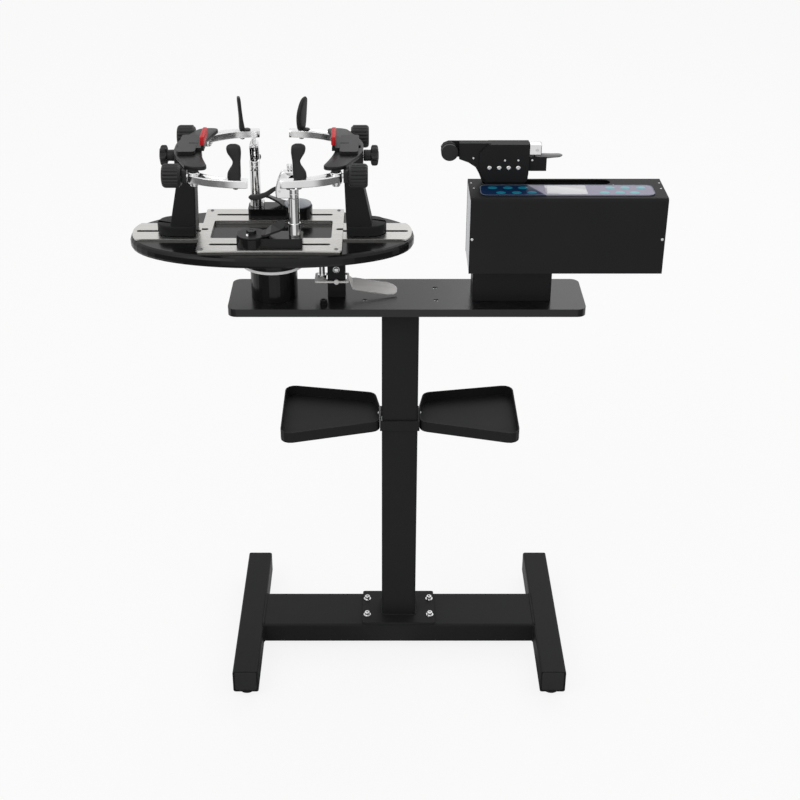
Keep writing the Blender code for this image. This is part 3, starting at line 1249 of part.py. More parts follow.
def cover_profile(shrink):
    """The bent sheet's section in Y and Z: front wall, top and back wall."""
    front, back, top = -HEAD_FRONT + shrink, HEAD_BACK - shrink, HEAD_TOP - shrink
    bend = COVER_BEND - shrink
    low = HEAD_BOTTOM
    corners = []
    for middle, start in (((back - bend, top - bend), 0.0), ((front + bend, top - bend), 90.0)):
        for k in range(4):
            t = math.radians(start + 30.0 * k)
            corners.append((middle[0] + bend * math.cos(t), middle[1] + bend * math.sin(t)))
    return [(back, low), *corners, (front, low)]


def make_cover(material):
    """The housing's outer shell, one sheet bent over front, top and back, slotted for the gripper."""
    x = (POST_X + HEAD_LEFT, POST_X + HEAD_LEFT + HEAD_LENGTH)
    outer, inner = cover_profile(0.0), cover_profile(COVER_SHEET)
    body = prism(outer + inner[::-1], x[0], x[1], "YZ")
    slot_right = CARRIAGE_LEFT + CARRIAGE_LENGTH + GRIPPER_TRAVEL + TRAVEL_SLOT_RIGHT_PLAY
    slot_x = (POST_X + CARRIAGE_LEFT - TRAVEL_SLOT_LEFT_PLAY, POST_X + slot_right)
    slot = prism(slot_outline(slot_x, 0.0, TRAVEL_SLOT_WIDTH), HEAD_TOP - 2 * COVER_SHEET, HEAD_TOP + COVER_SHEET)
    return part("head_cover", material, body, cut=[slot])


def make_chassis(material):
    """Floor and end walls in one bent sheet, with the guide rail, the screw's bearings and the inlet."""
    sheet = CHASSIS_SHEET
    x = (POST_X + HEAD_LEFT + GAP, POST_X + HEAD_LEFT + HEAD_LENGTH - GAP)
    y = (-HEAD_FRONT + COVER_SHEET + GAP, HEAD_BACK - COVER_SHEET - GAP)
    z = (HEAD_BOTTOM, HEAD_TOP - COVER_SHEET - GAP)
    floor = box(x, y, (z[0], z[0] + sheet))
    joins = []
    for limits in ((x[0], x[0] + sheet), (x[1] - sheet, x[1])):
        joins.append(box(limits, (y[0] + GAP, y[1] - GAP), (z[0] + GAP, z[1] - COVER_BEND)))
    half = BEARING_WIDTH / 2.0
    bearing_top = SCREW_Z + SCREW_RADIUS + BEARING_THICKNESS
    for left in (POST_X + BEARING_LEFT, POST_X + BEARING_RIGHT):
        limits = (left, left + BEARING_THICKNESS)
        joins.append(box(limits, (SCREW_Y - half, SCREW_Y + half), (z[0] + GAP, bearing_top)))
    guide_x = (POST_X + BEARING_LEFT + GAP, POST_X + BEARING_RIGHT + GAP)
    guide_y = (SCREW_Y - GUIDE_WIDTH / 2.0, SCREW_Y + GUIDE_WIDTH / 2.0)
    joins.append(box(guide_x, guide_y, (z[0] + GAP, GUIDE_TOP)))
    inlet_z = z[0] + INLET_ABOVE_BOTTOM
    shell = INLET_SHELL
    half_w, half_h = INLET_WIDTH / 2.0, INLET_HEIGHT / 2.0
    joins.append(
        box(
            (x[1] - INLET_DEPTH - shell, x[1] - GAP),
            (INLET_Y - half_w - shell, INLET_Y + half_w + shell),
            (inlet_z - half_h - shell, inlet_z + half_h + shell),
        )
    )
    socket = box(
        (x[1] - INLET_DEPTH, x[1] + shell),
        (INLET_Y - half_w, INLET_Y + half_w),
        (inlet_z - half_h, inlet_z + half_h),
    )
    screw_x = (guide_x[0] - BEARING_THICKNESS, POST_X + BEARING_RIGHT + 2 * BEARING_THICKNESS)
    bore = rod((SCREW_Y, SCREW_Z), SCREW_RADIUS + RUNNING, *screw_x, "YZ", 16)
    return part("head_chassis", material, floor, join=joins, cut=[bore, socket])


def make_motor(material):
    """The drive motor on the right-hand bearing, its shaft hole facing the screw."""
    x = (POST_X + BEARING_RIGHT + BEARING_THICKNESS + GAP, 0.0)
    x = (x[0], x[0] + MOTOR_LENGTH)
    half = MOTOR_SIDE / 2.0
    y = (SCREW_Y - half, SCREW_Y + half)
    z = (SCREW_Z - half, SCREW_Z + half)
    body = round_box(y, z, x, MOTOR_CORNER, "YZ", 2)
    shaft = rod((SCREW_Y, SCREW_Z), SCREW_RADIUS + RUNNING, x[0] - GAP, x[0] + BEARING_THICKNESS, "YZ", 16)
    return part("drive_motor", material, body, cut=[shaft])


def make_lead_screw(material):
    """The screw that draws the carriage, from the left bearing into the motor."""
    x = (POST_X + BEARING_LEFT + GAP, POST_X + BEARING_RIGHT + BEARING_THICKNESS + SCREW_INTO_MOTOR)
    screw = rod((SCREW_Y, SCREW_Z), SCREW_RADIUS, x[0], x[1], "YZ", 16)
    return part("lead_screw", material, screw, (x[0], SCREW_Y, SCREW_Z))


def make_keypad(material):
    x = (POST_X + KEYPAD_LEFT, POST_X + KEYPAD_LEFT + KEYPAD_LENGTH)
    y = (-KEYPAD_BACK - KEYPAD_DEPTH, -KEYPAD_BACK)
    z = (HEAD_TOP + GAP, HEAD_TOP + GAP + KEYPAD_THICKNESS)
    return part("keypad_panel", material, round_box(x, y, z, KEYPAD_CORNER, steps=5))


def gripper_point(x, z):
    """A point on the gripper's side: x from the carriage's left end, z up from the housing's top."""
    return (POST_X + CARRIAGE_LEFT + x, HEAD_TOP + z)


def gripper_profile():
    """The gripper seen from the front: nose arm to the left, then the body down to the travel slot."""
    under = -COVER_SHEET * 4
    right = CARRIAGE_LENGTH
    shoulder = GRIPPER_RIGHT - CARRIAGE_LEFT - GAP
    top = GRIPPER_TOP
    nose = NOSE_X - CARRIAGE_LEFT
    nose_top = NOSE_ABOVE_HOUSING + NOSE_RADIUS
    points = [
        (0.0, under), (right, under), (right, 0.001), (shoulder, 0.006), (shoulder, top - 0.0015),
        (0.012, top - 0.0015), (0.006, nose_top + 0.0005), (nose - 0.002, nose_top + 0.0005),
        (nose - 0.010, nose_top - 0.003), (nose - NOSE_RADIUS, NOSE_ABOVE_HOUSING + 0.005),
        (nose - 0.012, NOSE_ABOVE_HOUSING - 0.008), (nose, NOSE_ABOVE_HOUSING - 0.013),
        (nose + 0.016, NOSE_ABOVE_HOUSING - 0.0125), (nose + 0.032, NOSE_ABOVE_HOUSING - 0.0185),
        (nose + 0.044, NOSE_ABOVE_HOUSING - 0.0265), (nose + 0.050, NOSE_ABOVE_HOUSING - 0.0375),
        (-0.006, 0.004), (0.0, 0.001),
    ]
    return [gripper_point(x, z) for x, z in points]


def make_gripper(material):
    """Carriage on the guide rail, neck through the travel slot, gripper body and nose arm."""
    half_core, half = GRIPPER_CORE_WIDTH / 2.0, GRIPPER_WIDTH / 2.0
    inner = half_core - GAP
    core = prism(gripper_profile(), -half_core, half_core, "XZ")
    left, right = POST_X + CARRIAGE_LEFT, POST_X + CARRIAGE_LEFT + CARRIAGE_LENGTH
    carriage_top = GUIDE_TOP + CARRIAGE_HEIGHT
    carriage = box((left, right), (-CARRIAGE_FRONT, CARRIAGE_BACK), (GUIDE_TOP + GAP, carriage_top))
    web_z = (carriage_top - CARRIAGE_HEIGHT / 2.0, HEAD_TOP - COVER_SHEET * 3)
    web = box((left + GAP, right - GAP), (-inner, inner), web_z)
    edge = GRIPPER_RIGHT - CARRIAGE_LEFT
    plate_points = [
        (0.001, 0.004), (edge - 0.003, 0.004), (edge, 0.018), (edge, GRIPPER_TOP),
        (0.004, GRIPPER_TOP), (-0.011, GRIPPER_TOP - 0.015), (-0.0115, 0.036), (-0.008, 0.018),
    ]
    plates = prism([gripper_point(x, z) for x, z in plate_points], -half, half, "XZ")
    block_x = POST_X + GRIPPER_RIGHT - CAM_ROOT
    cam_x = (block_x, block_x + CAM_ROOT + CAM_LENGTH)
    cam = box(cam_x, (-CAM_WIDTH / 2.0, CAM_WIDTH / 2.0), (CAM_BOTTOM, CAM_BOTTOM + CAM_HEIGHT))
    switch_top = LEVER_BOTTOM - GAP
    switch_x = (block_x, block_x + CAM_ROOT + SWITCH_LENGTH)
    switch = box(switch_x, (-inner, inner), (switch_top - SWITCH_HEIGHT, switch_top))
    nose_x = (POST_X + NOSE_X - 2 * NOSE_RADIUS, POST_X + NOSE_X + NOSE_RADIUS + SEAT_PLAY)
    seat_back = -NOSE_FRONT + NOSE_LENGTH + RUNNING
    seat = box(nose_x, (-GRIPPER_WIDTH, seat_back), (NOSE_Z - 2 * NOSE_RADIUS, NOSE_Z + 2 * NOSE_RADIUS))
    pin_z = (switch_top - LEVER_PIN_SEAT - GAP, CAM_BOTTOM + LEVER_PIN_SEAT + GAP)
    lever_pin = rod(lever_pivot(), LEVER_PIN_RADIUS + RUNNING, *pin_z, steps=12)
    nut = rod((SCREW_Y, SCREW_Z), SCREW_RADIUS + RUNNING, left - GAP, right + GAP, "YZ", 16)
    axle_y = (-NOSE_FRONT + NOSE_LENGTH * NOSE_CAP_SHARE + GAP, inner)
    axle = rod((POST_X + NOSE_X, NOSE_Z), NOSE_AXLE_RADIUS, *axle_y, "XZ", 12)
    joins = [web, carriage, plates, cam, switch]
    return part("gripper_carriage", material, core, (left, 0.0, HEAD_TOP), joins, [seat, lever_pin, nut], [axle])


def lever_pivot():
    return (POST_X + GRIPPER_RIGHT + CAM_LENGTH - LEVER_HUB_RADIUS, 0.0)


def make_nose_roller(material):
    """The roller that the string turns over, on an axle out of the nose arm."""
    y = (-NOSE_FRONT, -NOSE_FRONT + NOSE_LENGTH)
    place = (POST_X + NOSE_X, NOSE_Z)
    body = rod(place, NOSE_RADIUS, *y, "XZ", 28)
    bore_y = (y[0] + NOSE_LENGTH * NOSE_CAP_SHARE, y[1] + GAP)
    bore = rod(place, NOSE_AXLE_RADIUS + RUNNING, *bore_y, "XZ", 12)
    return part("nose_roller", material, body, (place[0], 0.0, NOSE_Z), cut=[bore])


def make_gripper_lever(material):
    """A flat lever between the cam block and the switch block, on a vertical pin."""
    px, py = lever_pivot()
    low, high = LEVER_BOTTOM, LEVER_BOTTOM + LEVER_THICKNESS - GAP
    hub_half = LEVER_HUB_RADIUS * 0.9
    plan = [
        (px - 0.002, -hub_half), (px + LEVER_REACH * 0.5, -0.0042), (px + LEVER_REACH, -0.0034),
        (px + LEVER_REACH, 0.0034), (px + LEVER_REACH * 0.5, 0.0042), (px - 0.002, hub_half),
    ]
    blade = prism(plan, low, high)
    hub = rod((px, py), LEVER_HUB_RADIUS, low, high, steps=20)
    pin_z = (LEVER_BOTTOM - GAP - LEVER_PIN_SEAT, CAM_BOTTOM + LEVER_PIN_SEAT)
    pin = rod((px, py), LEVER_PIN_RADIUS, *pin_z, steps=12)
    return part("gripper_lever", material, blade, (px, py, low), [hub, pin])


def build():
    clear_scene()
    powder = finish("black powder coat", (0.020, 0.020, 0.021), 0.42, 0.0)
    satin = finish("satin black plate", (0.045, 0.045, 0.048), 0.34, 0.1)
    gloss = finish("gloss black", (0.012, 0.012, 0.013), 0.14, 0.0)
    plastic = finish("black plastic", (0.018, 0.018, 0.018), 0.55, 0.0)
    rubber = finish("black rubber", (0.016, 0.016, 0.016), 0.8, 0.0)
    stainless = finish("brushed stainless", (0.60, 0.59, 0.57), 0.30, 1.0)
    polished = finish("polished aluminium", (0.78, 0.78, 0.78), 0.20, 1.0)
    chrome = finish("chrome", (0.80, 0.80, 0.80), 0.08, 1.0)
    zinc = finish("galvanised sheet", (0.55, 0.56, 0.57), 0.45, 1.0)
    nylon = finish("white nylon", (0.85, 0.85, 0.83), 0.45, 0.0)
    keypad = finish("blue keypad", (0.05, 0.14, 0.25), 0.35, 0.0)

    for side, hand in ((-1, "left"), (1, "right")):
        make_leg(side, f"leg_{hand}", powder)
        for end, row in ((-1, "front"), (1, "rear")):
            make_foot(side, end, f"foot_{row}_{hand}", rubber)
        make_tray(side, f"tray_{hand}", powder)
    make_crossbar(powder)
    make_post(powder)
    make_collar(powder)
    make_top_plate(satin)
    make_column(gloss)
    make_slip_ring(nylon)
    make_spindle(gloss)
    make_deck(gloss)
    make_rail_plate(stainless)
    make_clamp_frame(stainless)

    for side, hand in ((-1, "left"), (1, "right")):
        make_tower(side, f"tower_{hand}", powder)
        make_head_block(side, f"head_block_{hand}", satin)
        make_star_knob(side, f"star_knob_{hand}", plastic)
        for end, row in ((-1, "front"), (1, "rear")):
            corner = f"{row}_{hand}"
            make_arm_knob(side, end, f"arm_knob_{corner}", plastic)
            make_side_arm(side, end, corner, polished)
            make_side_support(side, end, corner, plastic)

    for end, row in ((-1, "front"), (1, "rear")):
        make_clamp_base(end, f"clamp_base_{row}", gloss)
        make_base_lever(end, f"base_lever_{row}", satin)
        make_clamp_post(end, f"clamp_post_{row}", chrome)
        make_clamp_head(end, f"clamp_head_{row}", polished)
        make_clamp_jaw(end, f"clamp_jaw_{row}", polished)
        make_clamp_lever(end, f"clamp_lever_{row}", plastic)

    make_brake_post(powder)
    make_brake_lever(chrome)
    make_brake_pin(chrome)
    make_pedestal(powder)
    make_chassis(zinc)
    make_cover(powder)
    make_motor(satin)
    make_lead_screw(stainless)
    make_keypad(keypad)
    make_gripper(powder)
    make_nose_roller(satin)
    make_gripper_lever(zinc)


build()
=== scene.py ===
"""Looks of the racket stringing machine: finishes, fasteners, keys, pads and moulded grips on the fixed frame.

Metres, +Z up, -Y towards the user, the same frame as the solids. Every new piece is a closed skin over rings
of points worked out with numpy.
"""

import json
import math

import bpy
import numpy as np
from mathutils import Matrix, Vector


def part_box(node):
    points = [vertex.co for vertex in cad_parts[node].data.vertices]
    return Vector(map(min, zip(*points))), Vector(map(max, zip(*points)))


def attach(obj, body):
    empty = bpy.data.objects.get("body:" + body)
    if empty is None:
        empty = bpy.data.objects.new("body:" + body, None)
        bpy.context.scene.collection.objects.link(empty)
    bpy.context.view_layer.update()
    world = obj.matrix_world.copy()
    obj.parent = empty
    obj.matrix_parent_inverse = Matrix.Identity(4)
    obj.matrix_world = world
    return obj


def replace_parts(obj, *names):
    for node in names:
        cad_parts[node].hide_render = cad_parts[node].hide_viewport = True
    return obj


bl_info = {
    "name": "Stringing machine looks",
    "version": (1, 0, 0),
    "blender": (4, 5, 0),
    "location": "3D View > Sidebar > Stringer",
    "description": "Finishes and small parts of a racket stringing machine",
    "category": "Object",
}

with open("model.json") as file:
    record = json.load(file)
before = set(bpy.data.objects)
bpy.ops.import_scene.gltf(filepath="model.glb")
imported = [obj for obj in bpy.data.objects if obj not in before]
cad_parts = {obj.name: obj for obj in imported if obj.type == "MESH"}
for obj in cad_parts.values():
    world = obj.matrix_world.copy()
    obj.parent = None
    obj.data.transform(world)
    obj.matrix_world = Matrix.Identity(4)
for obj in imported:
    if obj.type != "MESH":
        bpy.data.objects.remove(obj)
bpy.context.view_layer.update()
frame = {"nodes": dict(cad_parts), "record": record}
HANDS = (("left", -1), ("right", 1))
ROWS = (("front", -1), ("rear", 1))
CORNERS = tuple((f"{row}_{hand}", side, end) for hand, side in HANDS for row, end in ROWS)
UP, DOWN, AHEAD = (0, 0, 1), (0, 0, -1), (0, -1, 0)
MM = 0.001
WHITE = (1.0, 1.0, 1.0, 1.0)


def span(name):
    """Lowest and highest corner of a solid as arrays."""
    low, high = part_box(name)
    return np.array(low), np.array(high)


def middle(name):
    """The middle of a solid's box: half the sum of its two corners."""
    low, high = span(name)
    return (low + high) / 2.0


POST = middle("post")
TABLE = middle("turntable_deck")
FLANGE = 0.005  # thickness of the post's flanges
WASHER = 0.0012  # thickness of a washer
SUNK = 0.0002  # how far a piece that is laid on a face sinks into it
FRAME_TOP = 0.8703  # sliding face of the rails and the clamp frame
KNOB_HEIGHT = 1.006  # axis of the arm knobs and the star knobs
ARM_PIVOT = (0.115, 0.100)  # pivot of a side arm, aside and to the rear of the turntable's axis
CLAMP_POSTS = {"front": (-0.1656, -0.068, (-1.0, 0.0)), "rear": (-0.2406, 0.068, (0.0, 1.0))}


def off_axis(side, distance):
    """X at a distance from the turntable's axis, to the left for side -1 and to the right for side 1."""
    return TABLE[0] + side * distance


def four_corners(x, half_x, half_y):
    """Four places: half_x to either side of x, and half_y to the front and the rear."""
    return [(x + i * half_x, j * half_y) for i in (-1, 1) for j in (-1, 1)]


def solid(rings, loop=False):
    """A closed skin over an array (rings, points, 3): quads between neighbouring rings and a cap on each end.

    With loop there are no caps and the last ring joins the first, which leaves a hole through the middle. The
    signed volume, the sum of each face's triple product about the middle, decides which way faces turn.
    """
    rings = np.asarray(rings, dtype=float)
    count, steps = rings.shape[:2]
    points = rings.reshape(-1, 3)
    row, here = np.meshgrid(np.arange(count if loop else count - 1), np.arange(steps), indexing="ij")
    after = (here + 1) % steps
    above = (row + 1) % count * steps
    row = row * steps
    sides = np.stack([row + here, row + after, above + after, above + here], axis=-1).reshape(-1, 4)
    centre = points.mean(axis=0)
    a, b, c, d = (points[sides[:, k]] - centre for k in range(4))
    volume = (np.cross(a, b) * c).sum() + (np.cross(a, c) * d).sum()
    faces = sides.tolist()
    if not loop:
        for ring, sign in ((rings[0] - centre, -1.0), (rings[-1] - centre, 1.0)):
            volume += sign * (np.cross(ring, np.roll(ring, -1, axis=0)) @ ring.mean(axis=0)).sum()
        last = (count - 1) * steps
        faces += [list(range(steps - 1, -1, -1)), list(range(last, last + steps))]
    if volume < 0.0:
        faces = [face[::-1] for face in faces]
    return points, faces


def finish_of(name):
    """One of this file's own finishes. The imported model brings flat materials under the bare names."""
    return bpy.data.materials[f"stringer_{name}"]


def add_object(name, data):
    """A new object in the scene that shows the given data."""
    item = bpy.data.objects.new(name, data)
    bpy.context.scene.collection.objects.link(item)
    return item


def piece(name, solids, finish, body, sharp=38.0):
    """One object from a list of closed skins, smooth up to the given angle, riding on a body."""
    points, faces, offset = [], [], 0
    for part_points, part_faces in solids:
        points.append(part_points)
        faces += [[corner + offset for corner in face] for face in part_faces]
        offset += len(part_points)
    mesh = bpy.data.meshes.new(name)
    mesh.from_pydata(np.concatenate(points).tolist(), [], faces)
    mesh.shade_smooth()
    mesh.set_sharp_from_angle(angle=math.radians(sharp))
    mesh.materials.append(finish_of(finish))
    item = add_object(name, mesh)
    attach(item, body)
    return item


def basis(direction):
    """Two directions across the given one, and the direction itself, all of unit length."""
    along = np.array(direction, dtype=float)
    along /= np.linalg.norm(along)
    helper = np.array([0.0, 0.0, 1.0]) if abs(along[2]) < 0.9 else np.array([1.0, 0.0, 0.0])
    across = np.cross(helper, along)
    across /= np.linalg.norm(across)
    return across, np.cross(along, across), along


def placed(x, y, z, place, direction):
    """Points x across, y upward and z along a direction, counted from a place."""
    across, upward, along = basis(direction)
    return np.array(place, dtype=float) + x[..., None] * across + y[..., None] * upward + z[..., None] * along


def angles(steps, offset=0.0):
    """Even angles of a full turn: 2 pi (k + offset) / steps."""
    return (np.arange(steps) + offset) * 2.0 * math.pi / steps


def plain(angle):
    """No wave: 0 at every angle."""
    return np.zeros_like(angle)


def hexagon(angle):
    """How far a hexagon's side lies inside its corner circle, as a share: cos 30 / cos(angle within a side) - 1."""
    return math.cos(math.pi / 6) / np.cos(np.mod(angle, math.pi / 3) - math.pi / 6) - 1.0


def turned(profile, place, direction=UP, wave=plain, steps=32):
    """A turned form: at each angle t the radius is r * (1 + share * wave(t)), at height h.

    Each row of the profile is (r, h, share of the wave). The form stands on a place along a direction.
    """
    rows = np.array([row if len(row) == 3 else (*row, 0.0) for row in profile], dtype=float)
    angle = angles(steps)
    radius = rows[:, :1] * (1.0 + rows[:, 2:] * wave(angle)[None, :])
    return solid(placed(radius * np.cos(angle), radius * np.sin(angle), rows[:, 1:2], place, direction))


def rim(edge, low, high, arcs):
    """Inset and height of a flat body's rings: a quarter circle of the edge's radius at each of its two faces."""
    quarter = np.linspace(0.0, math.pi / 2, arcs)
    steep, shallow = edge * (1 - np.sin(quarter)), edge * (1 - np.cos(quarter))
    return np.concatenate([steep, shallow]), np.concatenate([low + shallow, high - steep])


def plate(half_x, half_y, corner, thickness, edge, place, direction=UP, arcs=6, steps=40):
    """A flat plate with round corners: each corner's circle is drawn in with the rim, and stands on its centre."""
    angle = angles(steps, 0.5)
    inset, height = rim(edge, 0.0, thickness, arcs)
    reach = (corner - inset)[:, None]
    x = np.copysign(half_x - corner, np.cos(angle)) + reach * np.cos(angle)
    y = np.copysign(half_y - corner, np.sin(angle)) + reach * np.sin(angle)
    return solid(placed(x, y, height[:, None], place, direction))


def swept(path, across, upward, half_width, half_height, power=2.6, steps=28):
    """A bar along a path, each ring the superellipse |a/w|^p + |b/h|^p = 1 across its two given directions."""
    angle = angles(steps)
    a = np.sign(np.cos(angle)) * np.abs(np.cos(angle)) ** (2.0 / power)
    b = np.sign(np.sin(angle)) * np.abs(np.sin(angle)) ** (2.0 / power)
    path, across, upward = np.broadcast_arrays(path, across, upward)
    wide = half_width[:, None, None] * a[None, :, None] * across[:, None, :]
    high = half_height[:, None, None] * b[None, :, None] * upward[:, None, :]
    return solid(path[:, None, :] + wide + high)


def bow(start, pull, end, share):
    """A curve from A to C, pulled towards B: (1-s)^2 A + 2s(1-s) B + s^2 C."""
    return (1 - share) ** 2 * start + 2 * share * (1 - share) * pull + share ** 2 * end


def rounded(corners, radii, arcs=6):
    """A closed outline with its corners eased: at each, a bow between the points a radius off on its two sides."""
    corners = np.array(corners, dtype=float)
    share = np.linspace(0.0, 1.0, arcs)[:, None]
    outline = []
    for k, corner in enumerate(corners):
        back, ahead = corners[k - 1] - corner, corners[(k + 1) % len(corners)] - corner
        start = corner + back / np.linalg.norm(back) * radii[k]
        end = corner + ahead / np.linalg.norm(ahead) * radii[k]
        outline.append(bow(start, corner, end, share))
    return np.concatenate(outline)


def rectangle(x0, x1, y0, y1, *radii):
    """A rectangle's outline with its corners eased, all by one radius or each by its own."""
    return rounded([(x0, y0), (x1, y0), (x1, y1), (x0, y1)], radii * 4 if len(radii) == 1 else radii)


def through(points, per=8):
    """A closed Catmull-Rom curve through the points, each span cut into the same number of steps."""
    points = np.array(points, dtype=float)
    t = (np.arange(per) / per)[None, :, None]
    a, b, c, d = (np.roll(points, shift, axis=0)[:, None, :] for shift in (1, 0, -1, -2))
    curve = b + t * (c - a) / 2 + t ** 2 * (a - 2.5 * b + 2 * c - d / 2) + t ** 3 * (1.5 * b - 1.5 * c + (d - a) / 2)
    return curve.reshape(-1, 2)


def level(outline, z):
    """A flat outline as a ring at one height."""
    return np.concatenate([outline, np.full((len(outline), 1), z)], axis=-1)


def slab(outline, low, high, edge, arcs=4):
    """Rings of a flat body over a closed outline, drawn in along its normals at both rims."""
    outline = np.asarray(outline, dtype=float)
    run = np.roll(outline, -1, axis=0) - np.roll(outline, 1, axis=0)
    turn = np.sign((outline[:, 0] * run[:, 1] - outline[:, 1] * run[:, 0]).sum())
    normal = turn * np.stack([run[:, 1], -run[:, 0]], axis=-1) / np.linalg.norm(run, axis=1)[:, None]
    inset, height = rim(edge, low, high, arcs)
    flat = outline[None] - inset[:, None, None] * normal[None]
    return np.concatenate([flat, np.broadcast_to(height[:, None, None], (*flat.shape[:2], 1))], axis=-1)


def slotted(outline, low, high, edge, place, half_x, half_y):
    """A slab with a rectangular slot: each point of the outline joins the slot's wall at the same angle, and the
    point nearest to each of the slot's corners joins that corner."""
    aim = np.asarray(outline, dtype=float) - np.array(place)
    aim /= np.linalg.norm(aim, axis=1)[:, None]
    reach = 1.0 / np.maximum(np.abs(aim[:, 0]) / half_x, np.abs(aim[:, 1]) / half_y)
    wall = np.array(place) + reach[:, None] * aim
    corners = np.array([(half_x, half_y), (-half_x, half_y), (-half_x, -half_y), (half_x, -half_y)])
    wall[np.argmax(aim @ corners.T, axis=0)] = np.array(place) + corners
    inner = np.array([level(wall, z) for z in (high, low)])
    return solid(np.concatenate([slab(outline, low, high, edge), inner]), loop=True)


def eased(knots, values, count):
    """Millimetres between knots, in metres: straight pieces on an even grid, averaged four times with the
    neighbours as (a + 2b + c) / 4."""
    line = np.interp(np.linspace(0.0, 1.0, count), knots, values)
    for _ in range(4):
        line[1:-1] = (line[:-2] + 2.0 * line[1:-1] + line[2:]) / 4.0
    return line * MM


def button_head(radius, height, place, direction):
    """A low round screw head with a six-sided recess: turned, with the hexagon as the wave of its inner rows."""
    key = radius * 0.46
    profile = [
        (radius, 0.0), (radius, height * 0.35), (radius * 0.93, height * 0.65), (radius * 0.76, height * 0.9),
        (radius * 0.58, height), (key, height, 1.0), (key, height * 0.35, 1.0), (key * 0.5, height * 0.3, 1.0),
    ]
    return turned(profile, place, direction, hexagon, 24)


def cap_screw(radius, height, place, direction):
    """A tall round head with a chamfered rim and a six-sided recess, turned like the button head."""
    chamfer, key = radius * 0.12, radius * 0.55
    profile = [
        (radius, 0.0), (radius, height - chamfer), (radius - chamfer, height), (key, height, 1.0),
        (key, height * 0.4, 1.0), (key * 0.5, height * 0.34, 1.0),
    ]
    return turned(profile, place, direction, hexagon, 24)


def washer(radius, thickness, place, direction):
    """A flat disc whose rim is chamfered by a quarter of its thickness."""
    edge = thickness * 0.25
    profile = [(radius - edge, 0.0), (radius, edge), (radius, thickness - edge), (radius - edge, thickness)]
    return turned(profile, place, direction)


def nut(radius, height, place, direction, stud=0.0):
    """A chamfered hexagon with the end of its bolt standing out of it."""
    edge = height * 0.16
    profile = [
        (radius * 0.9, 0.0, 0.4), (radius, edge, 1.0), (radius, height - edge, 1.0), (radius * 0.9, height, 0.4),
        (radius * 0.52, height), (radius * 0.5, height + stud), (radius * 0.4, height + stud + edge),
    ]
    return turned(profile, place, direction, hexagon, 24)


def colour(name, default, text):
    """A colour that a user can change."""
    return bpy.props.FloatVectorProperty(
        name=name, description=text, default=default, size=3, min=0.0, max=1.0, subtype="COLOR"
    )


def length(name, default, text):
    """A length that a user can change."""
    return bpy.props.FloatProperty(name=name, description=text, default=default, min=0.0001, unit="LENGTH")


def amount(name, default, text, high=10.0):
    """A plain number that a user can change, from 0 to its highest value."""
    return bpy.props.FloatProperty(name=name, description=text, default=default, min=0.0, max=high)


class StringerFinish(bpy.types.PropertyGroup):
    """Colours and wear of the finishes."""

    powder: colour("Powder coat", (0.0180, 0.0180, 0.0190), "Frame, towers and housing")
    plate: colour("Top plate", (0.0125, 0.0125, 0.0140), "Long plate on the post")
    casting: colour("Castings", (0.019, 0.019, 0.0205), "Tower heads, blocks and levers")
    gloss: colour("Gloss black", (0.008, 0.008, 0.008), "Turntable, column and clamp bases")
    plastic: colour("Knobs", (0.0135, 0.0135, 0.0145), "Knobs, supports and handles")
    rubber: colour("Rubber", (0.015, 0.015, 0.015), "Feet")
    steel: colour("Steel", (0.58, 0.57, 0.55), "Stainless rails and fasteners")
    pad: colour("Racket pads", (0.62, 0.006, 0.014), "Pads against the racket frame")
    panel_dark: colour("Panel, left", (0.004, 0.022, 0.075), "Keypad film at its left end")
    panel_pale: colour("Panel, right", (0.340, 0.320, 0.430), "Keypad film at its right end")
    key_dark: colour("Keys, left", (0.008, 0.190, 0.290), "Keys on the left of the window")
    key_pale: colour("Keys, right", (0.250, 0.560, 0.600), "Keys on the right of the window")
    window: colour("Window", (0.560, 0.560, 0.590), "Display window of the keypad")
    wear: amount("Edge wear", 0.35, "How bright worn edges get", 1.0)


class StringerSizes(bpy.types.PropertyGroup):
    """Sizes of the small parts."""

    bolt_radius: length("Frame bolt head", 0.0050, "Radius of the bolt heads on the foot")
    washer_radius: length("Washer", 0.0072, "Radius of the washers on the foot")
    screw_radius: length("Housing screw", 0.0027, "Radius of the housing's screw heads")
    plug_depth: length("Leg plug depth", 0.008, "How far an end plug reaches into its tube")
    weld_radius: length("Weld bead", 0.0022, "Half the width of a weld bead")
    key_length: length("Key length", 0.0165, "Length of a key on the keypad")
    key_depth: length("Key depth", 0.0125, "Depth of a key on the keypad")
    pad_width: length("Racket pad width", 0.054, "Width of a racket pad")


class StringerStage(bpy.types.PropertyGroup):
    """Floor and lamps."""

    floor: colour("Floor", (0.96, 0.96, 0.96), "Colour of the floor")
    seen: amount("White floor", 0.86, "How much of the floor's white is its own, as the camera sees it", 1.0)
    # Painted reflection: how dark glossy rays see the floor in two bands on either side of the camera; no panels stand
    # there.
    flags: amount("Dark panels", 0.85, "How dark metal sees the two panels on either side of the camera", 1.0)
    sky: amount("Room light", 0.62, "Strength of the even light from all round")
    key: amount("Key lamp", 24.0, "Power of the lamp at the front left in watts", 500.0)
    back: amount("Back lamp", 20.0, "Power of the lamp behind in watts", 500.0)


def settings():
    """The colours and the wear that the scene holds."""
    return bpy.context.scene.stringer_finish


def sizes():
    """The sizes that the scene holds."""
    return bpy.context.scene.stringer_sizes


def colour_of(value):
    """Three channels from a grey, a colour or the name of a setting."""
    if isinstance(value, str):
        return tuple(getattr(settings(), value))
    return (value,) * 3 if isinstance(value, float) else value


def feed(tree, sockets, values):
    """Links each named socket to the socket given for it, or sets it to the plain value."""
    for key, value in values.items():
        if isinstance(value, bpy.types.NodeSocket):
            tree.links.new(value, sockets[key])
        else:
            sockets[key].default_value = value


